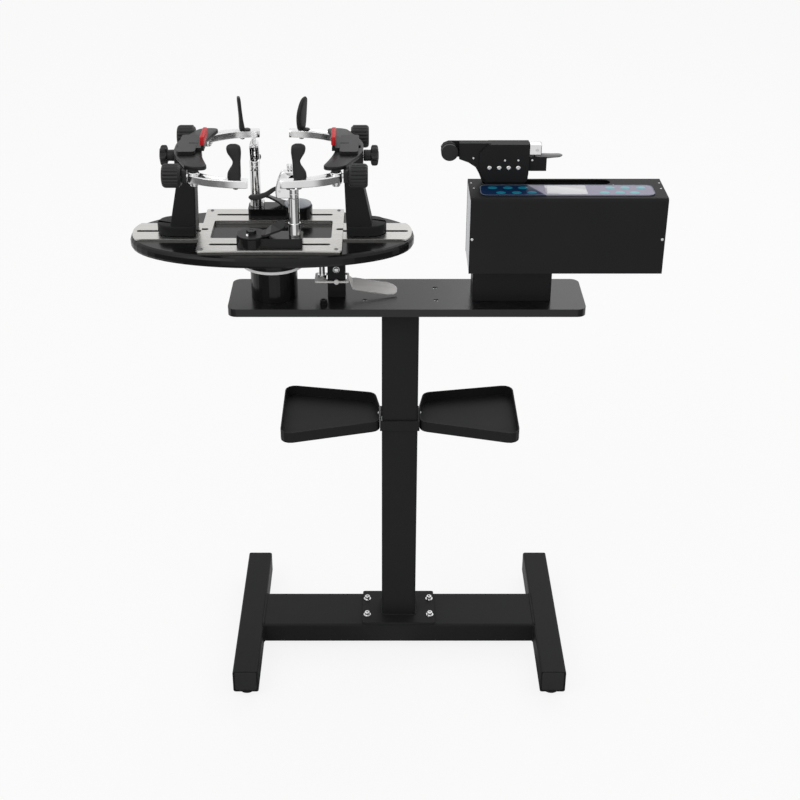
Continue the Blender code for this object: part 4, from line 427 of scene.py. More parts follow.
def node(tree, kind, inputs=None, **options):
    """A new shader node with its options set and its inputs fed."""
    made = tree.nodes.new(kind)
    for key, value in options.items():
        setattr(made, key, value)
    feed(tree, made.inputs, inputs or {})
    return made


def maths(tree, operation, *values):
    """The result of one sum on values or sockets."""
    return node(tree, "ShaderNodeMath", dict(enumerate(values)), operation=operation).outputs["Value"]


def remap(tree, value, low, high, to_low=0.0, to_high=1.0, **options):
    """A value carried in proportion from one range to another, and held at its ends."""
    ends = {"Value": value, "From Min": low, "From Max": high, "To Min": to_low, "To Max": to_high}
    return node(tree, "ShaderNodeMapRange", ends, **options).outputs["Result"]


def noise(tree, place, scale, detail):
    """A noise between 0 and 1 over a place."""
    return node(tree, "ShaderNodeTexNoise", {"Vector": place, "Scale": scale, "Detail": detail}).outputs["Fac"]


def blend(tree, factor, first, second):
    """A colour between two: (1 - factor) * first + factor * second."""
    inputs = {"Factor": factor, "A": first, "B": second}
    return node(tree, "ShaderNodeMix", inputs, data_type="RGBA").outputs["Result"]


def relief(tree, height, strength, **more):
    """The normal of a surface raised by a height of up to 0.2 mm."""
    inputs = {"Height": height, "Strength": strength, "Distance": 0.0002, **more}
    return node(tree, "ShaderNodeBump", inputs).outputs["Normal"]


def own_place(tree):
    """The place on the piece, in its own coordinates."""
    return node(tree, "ShaderNodeTexCoord").outputs["Object"]


def parts_of(tree, vector):
    """The X, Y and Z of a vector."""
    return node(tree, "ShaderNodeSeparateXYZ", {"Vector": vector}).outputs


def group(name, inputs, outputs):
    """An empty shader node group and its two end nodes. Inputs are given by their defaults, outputs by kind."""
    kinds = {float: "NodeSocketFloat", tuple: "NodeSocketVector"}
    tree = bpy.data.node_groups.new(name, "ShaderNodeTree")
    for label, value in inputs.items():
        socket = tree.interface.new_socket(name=label, in_out="INPUT", socket_type=kinds[type(value)])
        socket.default_value = value
    for label, kind in outputs.items():
        tree.interface.new_socket(name=label, in_out="OUTPUT", socket_type=kinds[kind])
    return tree, tree.nodes.new("NodeGroupInput").outputs, tree.nodes.new("NodeGroupOutput").inputs


def edge_wear_group():
    """Rounded edge normals, and a mask that is 1 where the rounding bends the surface and a noise lets it through."""
    tree, given, out = group("Edge wear", {"Radius": 0.0006, "Spots": 160.0}, {"Mask": float, "Normal": tuple})
    bend = node(tree, "ShaderNodeBevel", {"Radius": given["Radius"]}, samples=4).outputs["Normal"]
    flat = node(tree, "ShaderNodeNewGeometry").outputs["Normal"]
    dot = node(tree, "ShaderNodeVectorMath", {0: bend, 1: flat}, operation="DOT_PRODUCT").outputs["Value"]
    let = remap(tree, noise(tree, own_place(tree), given["Spots"], 3.0), 0.45, 0.62)
    feed(tree, out, {"Mask": maths(tree, "MULTIPLY", remap(tree, dot, 0.985, 0.80), let), "Normal": bend})


def grain_group():
    """Fine bumps of a coat or a moulding, and a slow change of tone."""
    tree, given, out = group("Coat grain", {"Scale": 900.0, "Tone scale": 9.0}, {"Height": float, "Tone": float})
    place = own_place(tree)
    feed(tree, out, {"Height": noise(tree, place, given["Scale"], 2.0),
                     "Tone": noise(tree, place, given["Tone scale"], 4.0)})


def brushed_group():
    """Long fine lines: a noise stretched by the given scale, one value for height and one for tone."""
    tree, given, out = group("Brushed lines", {"Stretch": (12.0, 1400.0, 1400.0)}, {"Height": float, "Tone": float})
    scaled = node(tree, "ShaderNodeVectorMath", {0: own_place(tree), 1: given["Stretch"]}, operation="MULTIPLY")
    place = scaled.outputs["Vector"]
    feed(tree, out, {"Height": noise(tree, place, 1.0, 3.0), "Tone": noise(tree, place, 0.12, 2.0)})


def dust_group():
    """Thin dust on faces that look up, broken by a noise."""
    tree, given, out = group("Settled dust", {"Scale": 30.0}, {"Mask": float})
    facing = parts_of(tree, node(tree, "ShaderNodeNewGeometry").outputs["Normal"])["Z"]
    spots = remap(tree, noise(tree, own_place(tree), given["Scale"], 6.0), 0.4, 0.8)
    feed(tree, out, {"Mask": maths(tree, "MULTIPLY", remap(tree, facing, 0.7, 1.0), spots)})


def blank(name, roughness, metallic=0.0, specular=0.5, coat=0.0):
    """A new material with its constants set on the shader's own sockets."""
    material = bpy.data.materials.new(f"stringer_{name}")
    material.use_nodes = True
    tree = material.node_tree
    shader = tree.nodes["Principled BSDF"].inputs
    feed(tree, shader, {"Roughness": roughness, "Metallic": metallic, "Specular IOR Level": specular,
                        "Coat Weight": coat, "Coat Roughness": 0.06})
    return tree, shader


def place_group(tree, name, values=None):
    """The outputs of one of the shared groups, placed with its own values."""
    return node(tree, "ShaderNodeGroup", values, node_tree=bpy.data.node_groups[name]).outputs


def coat_finish(name, tone, worn, roughness, spread, bump, specular, coat=0.0, metallic=0.0, radius=0.0007,
                scale=900.0, lines=None, dust=0.0, wear=None):
    """A coated, moulded or bare surface: tone and roughness drift slowly, edges wear, fine grain or lines in the
    normal. The colour is written once and varied a little to both sides."""
    drift, dust_tone = 0.14, (0.30, 0.29, 0.27, 1.0)
    tree, shader = blank(name, roughness, metallic, specular, coat)
    if lines is None:
        grain = place_group(tree, "Coat grain", {"Scale": scale})
    else:
        grain = place_group(tree, "Brushed lines", {"Stretch": lines})
    edges = place_group(tree, "Edge wear", {"Radius": radius})
    darker = [c * (1.0 - drift) for c in tone] + [1.0]
    lighter = [min(1.0, c * (1.0 + drift)) for c in tone] + [1.0]
    worn_share = maths(tree, "MULTIPLY", edges["Mask"], settings().wear if wear is None else wear)
    surface = blend(tree, worn_share, blend(tree, grain["Tone"], darker, lighter), [*worn, 1.0])
    if dust > 0.0:
        settled = maths(tree, "MULTIPLY", place_group(tree, "Settled dust")["Mask"], dust)
        surface = blend(tree, settled, surface, dust_tone)
    feed(tree, shader, {
        "Base Color": surface,
        "Roughness": remap(tree, grain["Tone"], 0.0, 1.0, roughness - spread, roughness + spread),
        "Normal": relief(tree, grain["Height"], bump, Normal=edges["Normal"]),
    })


def panel_finish(name, left, right):
    """Printed film: its colour changes from the left value to the right one where X + 0.535 Y crosses the seam."""
    seam, soft, slant = float(span("keypad_panel")[0][0]) + 0.0717, 0.0015, 0.535
    tree, shader = blank(name, 0.34, 0.0, 0.12)
    parts = parts_of(tree, own_place(tree))
    crossing = maths(tree, "MULTIPLY_ADD", parts["Y"], slant, parts["X"])
    film = blend(tree, remap(tree, crossing, seam - soft, seam + soft), [*left, 1.0], [*right, 1.0])
    grain = place_group(tree, "Coat grain", {"Scale": 1800.0, "Tone scale": 40.0})
    shade = remap(tree, grain["Tone"], 0.0, 1.0, 0.88, 1.12)
    tinted = node(tree, "ShaderNodeVectorMath", {0: film, "Scale": shade}, operation="SCALE").outputs["Vector"]
    feed(tree, shader, {"Base Color": tinted, "Normal": relief(tree, grain["Height"], 0.08)})


class StringerStep(bpy.types.Operator):
    """Base of the steps: runs make(), whose errors stop the script."""

    bl_options = {"REGISTER", "UNDO"}

    def execute(self, context):
        """Makes the step's pieces."""
        self.make()
        return {"FINISHED"}


class STRINGER_OT_finishes(StringerStep):
    """Build the shared shader groups and finishes, and give every solid its finish"""

    bl_idname = "stringer.finishes"
    bl_label = "Finishes"
    BARE = (0.10, 0.10, 0.105)
    # Name: tone, tone of a worn edge, roughness and its spread, bump, specular level, and what else it needs.
    FINISHES = {
        "powder_coat": ("powder", BARE, 0.48, 0.06, 0.24, 0.08, dict(dust=0.004)),
        "plate_coat": ("plate", BARE, 0.24, 0.03, 0.06, 0.34, dict(dust=0.02)),
        "painted_casting": ("casting", BARE, 0.38, 0.05, 0.18, 0.20, dict(dust=0.01)),
        "gloss_black": ("gloss", BARE, 0.18, 0.04, 0.03, 0.20, dict(coat=0.04)),
        "black_plastic": ("plastic", 0.05, 0.48, 0.06, 0.30, 0.35, dict(scale=700.0)),
        "rubber": ("rubber", 0.03, 0.72, 0.06, 0.35, 0.3, dict(scale=500.0)),
        "stainless": ("steel", (0.75, 0.75, 0.74), 0.27, 0.03, 0.020, 0.5,
                      dict(metallic=1.0, lines=(14.0, 2400.0, 2400.0), radius=0.0003)),
        "fastener_steel": (0.66, 0.8, 0.22, 0.06, 0.05, 0.5, dict(metallic=1.0, radius=0.0002)),
        "polished_aluminium": (0.80, 0.88, 0.18, 0.05, 0.05, 0.5,
                               dict(metallic=1.0, lines=(300.0, 300.0, 40.0), radius=0.0009)),
        "chrome": (0.82, 0.9, 0.09, 0.03, 0.02, 0.5, dict(metallic=1.0, radius=0.0005)),
        "zinc_sheet": ((0.52, 0.53, 0.55), 0.6, 0.38, 0.08, 0.08, 0.5, dict(metallic=1.0, scale=260.0, radius=0.0004)),
        # Painted light: the brake lever's steel, near-white and barely metal, lightened so that it reads bright in the
        # turntable's shade.
        "brushed_steel": ((0.94, 0.90, 0.87), (0.95, 0.92, 0.90), 0.42, 0.06, 0.08, 0.5,
                          dict(metallic=0.08, lines=(14.0, 1200.0, 1200.0), radius=0.0004)),
        "satin_grey": ((0.21, 0.21, 0.215), 0.4, 0.42, 0.06, 0.10, 0.4, dict(metallic=0.5, radius=0.0005)),
        "leg_plug": ((0.027, 0.027, 0.028), 0.05, 0.46, 0.05, 0.20, 0.3, dict(scale=700.0)),
        "lever_dish": ((0.33, 0.35, 0.38), 0.5, 0.42, 0.05, 0.05, 0.5, dict(metallic=0.1, radius=0.0005)),
        "nylon": ((0.92, 0.92, 0.91), (0.94, 0.94, 0.93), 0.42, 0.05, 0.08, 0.45, dict(wear=0.1)),
        "red_pad": ("pad", (0.62, 0.08, 0.08), 0.46, 0.06, 0.15, 0.4, dict(scale=600.0, wear=0.2)),
        "window": ("window", 0.7, 0.14, 0.03, 0.01, 0.5, dict(coat=0.4, wear=0.0)),
        "border": ((0.16, 0.19, 0.26), (0.3, 0.32, 0.36), 0.34, 0.05, 0.03, 0.2, dict(wear=0.0)),
    }

    def make(self):
        for build in (edge_wear_group, grain_group, brushed_group, dust_group):
            build()
        for name, (tone, worn, *values, more) in self.FINISHES.items():
            coat_finish(name, colour_of(tone), colour_of(worn), *values, **more)
        look = settings()
        panel_finish("keypad", look.panel_dark, look.panel_pale)
        panel_finish("keys", look.key_dark, look.key_pale)
        slots = {entry["node"]: entry["material_slot"] for entry in frame["record"]["subparts"]}
        for name, item in frame["nodes"].items():
            # The brake lever takes the lightened steel: painted light against the turntable's shade.
            material = finish_of("brushed_steel" if name == "brake_lever" else slots[name])
            for slot in item.material_slots:
                slot.material = material


class STRINGER_OT_foot_fittings(StringerStep):
    """Fit the leg plugs, the round rubber feet, the bolts of the foot and the weld beads"""

    bl_idname = "stringer.foot_fittings"
    bl_label = "Foot fittings"
    DOME = ((0.0118, 0.0), (0.0150, 0.0007), (0.0166, 0.0028), (0.0170, 0.0055), (0.0166, 0.0090), (0.0150, 0.0118))

    def make(self):
        size = sizes()
        tube_wall, recess = 0.0028, 0.0003
        bar_low, bar_high = span("crossbar")
        plugs, beads = [], []
        for hand, side in HANDS:
            low, high = span(f"leg_{hand}")
            centre = (low + high) / 2.0
            half = (high[0] - low[0]) / 2.0 - tube_wall
            for _, end in ROWS:
                place = (centre[0], end * (high[1] - recess - size.plug_depth), centre[2])
                plugs.append(plate(half, half, 0.004, size.plug_depth, 0.0012, place, (0, end, 0)))
            inner = low[0] if side > 0 else high[0]
            beads.append(self.bead((inner, bar_low[1], bar_high[2]), (inner, bar_high[1], bar_high[2])))
            for y in (bar_low[1], bar_high[1]):
                beads.append(self.bead((inner, y, bar_low[2]), (inner, y, bar_high[2])))
        post_low, post_high = span("post")
        foot, under = post_low[2] + FLANGE, post_high[2] - FLANGE
        half_x, half_y = 0.033, 0.026
        left, right = POST[0] - half_x, POST[0] + half_x
        beads += [self.bead((left, y, foot), (right, y, foot)) for y in (-half_y, half_y)]
        beads += [self.bead((x, -half_y, foot), (x, half_y, foot)) for x in (left, right)]
        piece("leg_plugs", plugs, "leg_plug", "stand")
        piece("weld_beads", beads, "powder_coat", "stand")
        for corner, _, _ in CORNERS:
            name = f"foot_{corner}"
            x, y, _ = middle(name)
            rubber = piece(f"rubber_{name}", [turned(self.DOME, (x, y, 0.0), steps=48)], "rubber", "stand")
            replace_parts(rubber, name)
        top, sunk = span("top_plate")[1][2], 0.0072
        bolts = []
        for x, y in four_corners(POST[0], 0.062, 0.026):
            bolts += [
                washer(size.washer_radius, WASHER, (x, y, foot), UP),
                cap_screw(size.bolt_radius, 0.0056, (x, y, foot + WASHER), UP),
                washer(size.washer_radius, WASHER, (x, y, under), DOWN),
                nut(size.bolt_radius * 1.15, 0.005, (x, y, under - WASHER), DOWN, 0.003),
                cap_screw(0.0043, 0.006, (x, y, top - sunk), UP),
            ]
        piece("frame_bolts", bolts, "fastener_steel", "stand")

    @staticmethod
    def bead(start, end):
        """A weld bead: a round section whose radius ripples along its length and dies away at both ends."""
        pitch, ends = 0.0035, 25.0
        start = np.array(start, dtype=float)
        run = np.array(end, dtype=float) - start
        share = np.linspace(0.0, 1.0, 60)
        ripple = np.abs(np.sin(share * np.linalg.norm(run) / pitch * math.pi))
        radius = sizes().weld_radius * (0.85 + 0.12 * ripple)
        radius *= np.clip(np.minimum(share, 1.0 - share) * ends + 0.2, 0.0, 1.0)
        across, upward, _ = basis(run)
        return swept(start + share[:, None] * run, across, upward, radius, radius, 2.0, 12)


class STRINGER_OT_tray_screws(StringerStep):
    """Screw the tool trays to their collar"""

    bl_idname = "stringer.tray_screws"
    bl_label = "Tray screws"

    def make(self):
        sheet, up, aside = 0.002, 0.012, 0.017
        screws = []
        for hand, side in HANDS:
            low, high = span(f"tray_{hand}")
            wall = (low[0] if side > 0 else high[0]) + side * sheet
            screws += [button_head(0.0030, 0.0018, (wall, y, low[2] + up), (side, 0, 0)) for y in (-aside, aside)]
        piece("tray_screws", screws, "fastener_steel", "stand")


class STRINGER_OT_turntable_fittings(StringerStep):
    """Fit the screws of the clamp frame"""

    bl_idname = "stringer.turntable_fittings"
    bl_label = "Turntable screws"

    def make(self):
        top = span("clamp_frame")[1][2] - SUNK
        screws = [button_head(0.0032, 0.0014, (x, y, top), UP) for x, y in four_corners(TABLE[0], 0.1125, 0.0885)]
        piece("clamp_frame_screws", screws, "satin_grey", "turntable")


class STRINGER_OT_towers(StringerStep):
    """Replace the towers with cast ones: a round-ended foot, a tapered column and a smooth crescent on a boss"""

    bl_idname = "stringer.towers"
    bl_label = "Towers"
    CRESCENT = (
        (0.1577, 0.0), (0.1570, 0.0200), (0.1520, 0.0410), (0.1430, 0.0620), (0.1347, 0.0820), (0.1285, 0.0940),
        (0.1180, 0.0998), (0.1060, 0.1008), (0.0975, 0.0982), (0.0948, 0.0915), (0.0970, 0.0825), (0.1015, 0.0670),
        (0.1062, 0.0480), (0.1100, 0.0260), (0.1115, 0.0),
    )
    # Inner and outer face from the turntable's axis, half width, and the radii of the corners.
    FOOT = (0.1285, 0.1965, 0.0270, 0.006, 0.030, 0.030, 0.006)
    BOSS = (0.1150, 0.1577, 0.0230, 0.005)
    COLUMN = {0.8790: (0.1285, 0.1740, 0.0240, 0.0035), 0.9915: (0.1247, 0.1510, 0.0204, 0.0035)}
    SLOT_MIDDLE, SLOT_HALF = 0.1375, (0.0158, 0.0070)
    KEY_MIDDLE, KEY_HALF = 0.1625, 0.016
    LUG = (0.1268, 0.0950, 1.0045)
    COLLAR_RADIUS, COLLAR_LOW = 0.0080, 1.0129
    BOLT_RADIUS, BOLT_LOW = 0.0050, 0.9925

    def make(self):
        """Slabs over outlines, a column between two outlines, and turned collars and bolts at the arms' pivots."""
        low, high = span("tower_left")
        foot_top, joint, boss_top, key_top = 0.8883, 0.9910, 0.9980, 0.8637
        top, under, inside = high[2], high[2] - 0.0065, high[2] - 0.0055  # of the crescent
        crescent = [*self.CRESCENT, *((u, -y) for u, y in self.CRESCENT[-2:0:-1])]
        for hand, side in HANDS:
            def block(u0, u1, half, *radii):
                """The outline between two distances from the turntable's axis, half to the front and the rear."""
                return rectangle(off_axis(side, u0), off_axis(side, u1), -half, half, *radii)

            def key(half, bottom, above, edge):
                """A bar of the T-key between two heights: a slab over a rectangle."""
                centre = off_axis(side, self.KEY_MIDDLE)
                outline = rectangle(centre - self.KEY_HALF, centre + self.KEY_HALF, -half, half, 0.001)
                return solid(slab(outline, bottom, above, edge))

            slot = ((off_axis(side, self.SLOT_MIDDLE), 0.0), *self.SLOT_HALF)
            body = [
                solid(slab(block(*self.FOOT), FRAME_TOP, foot_top, 0.0022)),
                solid([level(block(*outline), z) for z, outline in self.COLUMN.items()]),
                key(0.0037, key_top - 0.0007, FRAME_TOP + 0.0010, 0.0002),
                key(0.0067, low[2], key_top, 0.0005),
            ]
            boss = block(*self.BOSS)
            head = [
                solid(slab(boss, joint, boss_top, 0.0010)),
                slotted(boss, boss_top - 0.0001, inside, 0.0001, *slot),
                slotted(through([(off_axis(side, u), y) for u, y in crescent]), under, top, 0.0014, *slot),
            ]
            collar = [(self.COLLAR_RADIUS, self.COLLAR_LOW), (self.COLLAR_RADIUS, top - 0.0050)]
            bolt = [(self.BOLT_RADIUS, self.BOLT_LOW), (self.BOLT_RADIUS, inside)]
            bolts = []
            for _, end in ROWS:
                pivot = (off_axis(side, ARM_PIVOT[0]), end * ARM_PIVOT[1])
                lug = (off_axis(side, self.LUG[0]), end * self.LUG[1], self.LUG[2])
                head.append(plate(0.0100, 0.0105, 0.0050, 0.0082, 0.0008, lug, (side, 0, 0)))
                head.append(turned(collar, (*pivot, 0.0)))
                bolts.append(turned(bolt, (*pivot, 0.0), steps=24))
                bolts.append(cap_screw(0.0066, 0.0040, (*pivot, self.BOLT_LOW + 0.0005), DOWN))
            name = f"tower_{hand}"
            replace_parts(piece(name + "_body", body, "powder_coat", name, 30.0), name)
            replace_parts(piece(name + "_head", head, "painted_casting", name, 32.0), name)
            piece(name + "_bolts", bolts, "fastener_steel", name)


class STRINGER_OT_racket_pads(StringerStep):
    """Put the red pads on the racket blocks"""

    bl_idname = "stringer.racket_pads"
    bl_label = "Racket pads"

    def make(self):
        """Each pad is a slab over a rectangle whose ends are round."""
        half_width, half_depth, distance = sizes().pad_width / 2.0, 0.0036, 0.1085
        low, high = 1.0318, 1.0462
        for hand, side in HANDS:
            centre = off_axis(side, distance)
            outline = rectangle(centre - half_depth, centre + half_depth, -half_width, half_width, 0.0030)
            strip = solid(slab(outline, low, high, 0.0012))
            piece(f"racket_pad_{hand}", [strip], "red_pad", f"head_block_{hand}")


class STRINGER_OT_knobs(StringerStep):
    """Replace the plain knobs with ribbed and lobed ones that have rounded rims and dished caps"""

    bl_idname = "stringer.knobs"
    bl_label = "Knobs"

    def make(self):
        """Each knob is turned, with ribs or lobes as its wave, on a shank that is turned too."""
        def ribs(angle):
            """|sin 9t|^0.7 - 1: eighteen ribs."""
            return np.abs(np.sin(angle * 9.0)) ** 0.7 - 1.0

        def lobes(angle):
            """(cos 6t - 1) / 2: six lobes."""
            return (np.cos(angle * 6.0) - 1.0) / 2.0

        r, d = 0.0195, 0.031  # radius over the ribs and depth
        arm_knob = [
            (0.0150, 0.0), (0.0160, 0.0006), (0.0172, 0.0022), (r, 0.0040, 0.03), (r, 0.0060, 0.095),
            (r, d - 0.0060, 0.095), (r - 0.0004, d - 0.0036, 0.080), (r - 0.0014, d - 0.0018, 0.045),
            (r - 0.0030, d - 0.0005, 0.0), (r - 0.0048, d, 0.0), (0.0135, d - 0.0006), (0.0128, d - 0.0024),
            (0.0080, d - 0.0027), (0.0030, d - 0.0020),
        ]
        r = 0.0175  # radius over the lobes
        star_knob = [
            (0.0080, 0.0), (0.0092, 0.0006), (0.0096, 0.0016), (0.0093, 0.0095), (0.0096, 0.0118),
            (0.0140, 0.0124, 0.14), (0.0163, 0.0134, 0.26), (r, 0.0150, 0.31), (r, 0.0208, 0.31),
            (0.0166, 0.0228, 0.27), (0.0145, 0.0240, 0.16), (0.0100, 0.0247), (0.0070, 0.0249),
            (0.0064, 0.0253), (0.0025, 0.0254),
        ]
        arm_screw = [(0.0040, -0.0110), (0.0040, 0.0005), (0.0030, 0.0008)]
        star_screw = [(0.0050, -0.030), (0.0050, 0.0005), (0.0040, 0.0008)]
        arm_start, star_start = 0.1353, 0.1583
        for hand, side in HANDS:
            knobs = [
                (f"arm_knob_{row}_{hand}", arm_start, end * ARM_PIVOT[1], arm_knob, ribs, 144, arm_screw, 20)
                for row, end in ROWS
            ]
            knobs.append((f"star_knob_{hand}", star_start, 0.0, star_knob, lobes, 120, star_screw, 24))
            for name, start, y, profile, wave, steps, shank, shank_steps in knobs:
                place, out = (off_axis(side, start), y, KNOB_HEIGHT), (side, 0, 0)
                grip = turned(profile, place, out, wave, steps)
                screw = turned(shank, place, out, steps=shank_steps)
                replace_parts(piece(name + "_grip", [grip], "black_plastic", name), name)
                piece(name + "_screw", [screw], "fastener_steel", name)


class STRINGER_OT_side_arms(StringerStep):
    """Replace the side arms with smooth bowed castings that have a trough in their top"""

    bl_idname = "stringer.side_arms"
    bl_label = "Side arms"
    # Each corner of the section: its share of the half width, of the half height and of the trough's depth.
    SECTION = (
        (-1.0, -0.82, 0.0), (-0.86, -1.0, 0.0), (0.86, -1.0, 0.0), (1.0, -0.82, 0.0), (1.0, 0.82, 0.0),
        (0.86, 1.0, 0.0), (0.66, 1.0, 0.0), (0.52, 1.0, 1.0), (-0.52, 1.0, 1.0), (-0.66, 1.0, 0.0),
        (-0.86, 1.0, 0.0), (-1.0, 0.82, 0.0),
    )

    def make(self):
        """The middle line is a bow, and the trough is as deep as sin(pi t)^0.5 of its depth."""
        count, height, half_height, depth = 48, 1.00295, 0.0065, 0.0034
        share = np.linspace(0.0, 1.0, count)[:, None]
        line = bow(np.array(ARM_PIVOT), np.array([0.082, 0.127]), np.array([0.026, 0.128]), share)
        run = np.gradient(line, axis=0)
        run /= np.linalg.norm(run, axis=1)[:, None]
        aside = np.stack([-run[:, 1], run[:, 0]], axis=-1)
        half = eased((0.0, 0.30, 0.60, 0.97, 1.0), (10.6, 9.4, 7.4, 7.0, 6.0), count)[:, None]
        trough = depth * np.sqrt(np.clip(np.sin(np.clip((share - 0.16) / 0.52, 0.0, 1.0) * math.pi), 0.0, 1.0))
        wide, up, deep = np.array(self.SECTION).T
        u, y = (line[:, k:k + 1] + half * aside[:, k:k + 1] * wide for k in range(2))
        z = height + half_height * up - trough * deep
        for corner, side, end in CORNERS:
            name = f"side_arm_{corner}"
            low, high = span(name)
            bar = solid(np.stack([off_axis(side, u), end * y, z], axis=-1))
            eye = [
                (0.0082, low[2]), (0.0094, low[2] + 0.0010), (0.0096, low[2] + 0.0030), (0.0096, high[2] - 0.0030),
                (0.0094, high[2] - 0.0010), (0.0082, high[2]),
            ]
            knuckle = turned(eye, (off_axis(side, ARM_PIVOT[0]), end * ARM_PIVOT[1], 0.0), steps=40)
            casting = piece(name + "_casting", [bar, knuckle], "polished_aluminium", name)
            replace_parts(casting, name)


class STRINGER_OT_side_supports(StringerStep):
    """Replace the flat supports with moulded ones, and put nuts under them"""

    bl_idname = "stringer.side_supports"
    bl_label = "Side supports"
    # Four rows each, in millimetres at the knots up the support: half width, half thickness, lean and drift.
    KNOTS = (0.0, 0.02, 0.06, 0.20, 0.30, 0.42, 0.52, 0.62, 0.76, 0.88, 0.96, 1.0)
    GRIPPED = (
        (10.0, 10.6, 11.0, 10.6, 9.0, 6.6, 6.2, 8.2, 11.2, 11.6, 10.6, 5.0),
        (4.6, 5.2, 5.4, 5.4, 5.0, 4.4, 4.2, 4.8, 5.8, 5.8, 4.6, 1.6),
        (1.6, 1.6, 1.6, 1.0, -0.8, -3.2, -3.8, -2.6, -0.4, 0.4, 0.4, 0.4),
        (0.0,) * 12,
    )
    STRAIGHT = (
        (8.0, 9.0, 9.6, 8.6, 8.0, 7.8, 7.8, 7.8, 7.8, 7.6, 7.0, 5.6),
        (4.6, 5.0, 5.0, 4.2, 3.7, 3.4, 3.3, 3.2, 3.2, 3.2, 3.0, 2.4),
        (0.0,) * 12,
        (0.0, 0.0, -0.2, -0.7, -1.1, -1.5, -1.9, -2.3, -2.8, -3.2, -3.5, -3.6),
    )
    CURVED = (
        (7.0, 8.4, 9.6, 11.6, 12.4, 12.8, 12.6, 12.0, 10.4, 8.6, 6.2, 2.6),
        (4.0, 4.6, 4.8, 5.0, 5.0, 5.0, 4.9, 4.7, 4.4, 4.0, 3.2, 1.4),
        (0.0,) * 12,
        (0.0, 0.1, 0.2, 0.3, 0.5, 0.9, 1.5, 2.3, 3.8, 5.4, 6.6, 7.2),
    )
    # Place from the turntable's axis, aside and to the rear, turn in degrees, and form.
    SEATS = {
        "front_left": (0.0454, 0.1268, 0.0, GRIPPED), "front_right": (0.0565, 0.1252, 0.0, GRIPPED),
        "rear_left": (0.0565, 0.1252, 78.0, STRAIGHT), "rear_right": (0.0475, 0.1266, 60.0, CURVED),
    }
    DISC = ((0.0062, 0.0), (0.0068, 0.0006), (0.0068, 0.0022), (0.0060, 0.0030), (0.0020, 0.0032))

    def make(self):
        """Each support is swept up a line that leans across its own face and drifts along X."""
        count, base, under = 56, 1.0098, 0.99645
        for corner, side, end in sorted(CORNERS):
            reach, depth, turn, form = self.SEATS[corner]
            name = f"side_support_{corner}"
            width, thick, lean, drift = (eased(self.KNOTS, row, count) for row in form)
            spin = math.radians(turn) * side * end
            across = np.array([math.cos(spin), math.sin(spin), 0.0])
            normal = np.array([-math.sin(spin), math.cos(spin), 0.0])
            x, y = off_axis(side, reach), end * depth
            path = np.array([x, y, 0.0]) + (lean * side)[:, None] * across
            path[:, 0] += drift
            path[:, 2] = np.linspace(base, span(name)[1][2], count)
            parts = [swept(path, across, normal, width, thick, 3.2, 40)]
            if end > 0:
                parts.append(turned(self.DISC, (x + 0.0085, y - 0.004, base), steps=28))
            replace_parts(piece(name + "_moulding", parts, "black_plastic", name, 60.0), name)
            fixing = nut(0.0046, 0.0030, (x, y, under), DOWN, 0.0006)
            piece(name + "_nut", [fixing], "fastener_steel", name)


class STRINGER_OT_clamp_heads(StringerStep):
    """Replace the clamp heads with rounded castings: two cheeks, a filled neck, a turned collar and a comb jaw"""

    bl_idname = "stringer.clamp_heads"
    bl_label = "Clamp heads"
    CHEEK = (
        (0.0040, 0.0006), (0.0290, 0.0000), (0.0295, 0.0160), (0.0262, 0.0300), (0.0185, 0.0465), (-0.0095, 0.0468),
        (-0.0095, 0.0408), (0.0040, 0.0385), (0.0088, 0.0270), (0.0100, 0.0178), (0.0040, 0.0176),
    )
    CHEEK_RADII = (0.0014, 0.0050, 0.0060, 0.0070, 0.0055, 0.0018, 0.0018, 0.0045, 0.0040, 0.0010, 0.0010)
    NECK = (
        (0.0104, 0.0180), (0.0155, 0.0180), (0.0155, 0.0290), (0.0252, 0.0290), (0.0178, 0.0455), (-0.0088, 0.0460),
        (-0.0088, 0.0416), (0.0046, 0.0394), (0.0096, 0.0276),
    )
    NECK_RADII = (0.0004, 0.0004, 0.0004, 0.0010, 0.0050, 0.0014, 0.0014, 0.0040, 0.0030)
    COLLAR = (
        (0.0076, 0.0), (0.0086, 0.0008), (0.0088, 0.0020), (0.0088, 0.0076), (0.0084, 0.0080), (0.0084, 0.0088),
        (0.0088, 0.0092), (0.0088, 0.0158), (0.0084, 0.0170), (0.0070, 0.0177),
    )
    BUSH = ((0.0056, -0.0500), (0.0060, -0.0494), (0.0060, 0.0010))

    def make(self):
        """The cheeks, the neck and the jaw are drawn flat, then stood up and turned to the way the head looks."""
        cheek = rounded(self.CHEEK, self.CHEEK_RADII)
        neck = rounded(self.NECK, self.NECK_RADII)
        inside, outside, half_neck = 0.0028, 0.0070, 0.0052
        flats = [slab(cheek, *faces, 0.0019) for faces in ((inside, outside), (-outside, -inside))]
        flats.append(slab(neck, -half_neck, half_neck, 0.0003))
        jaw, root, bar_top, tip = (0.0007, 0.0033), 0.0450, 0.0488, 0.0570
        teeth, pitch, half_tooth = 4, 0.00475, 0.0014
        for k in range(teeth):
            u = (k - (teeth - 1) / 2.0) * pitch
            flats.append(slab(rectangle(u - half_tooth, u + half_tooth, root, tip, 0.0005), *jaw, 0.0004))
        half_jaw = teeth * pitch / 2.0
        flats.append(slab(rectangle(-half_jaw, half_jaw, root, bar_top, 0.0006), *jaw, 0.0003))
        for row, (x, y, (ux, uy)) in CLAMP_POSTS.items():
            name = f"clamp_head_{row}"
            place = np.array([x, y, span(name)[0][2] - self.BUSH[0][1]])
            stood = np.array([(ux, uy, 0.0), (0.0, 0.0, 1.0), (-uy, ux, 0.0)])
            parts = [solid(place + rings @ stood) for rings in flats]
            parts += [turned(self.COLLAR, place, steps=48), turned(self.BUSH, place)]
            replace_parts(piece(name + "_casting", parts, "chrome", name), name)


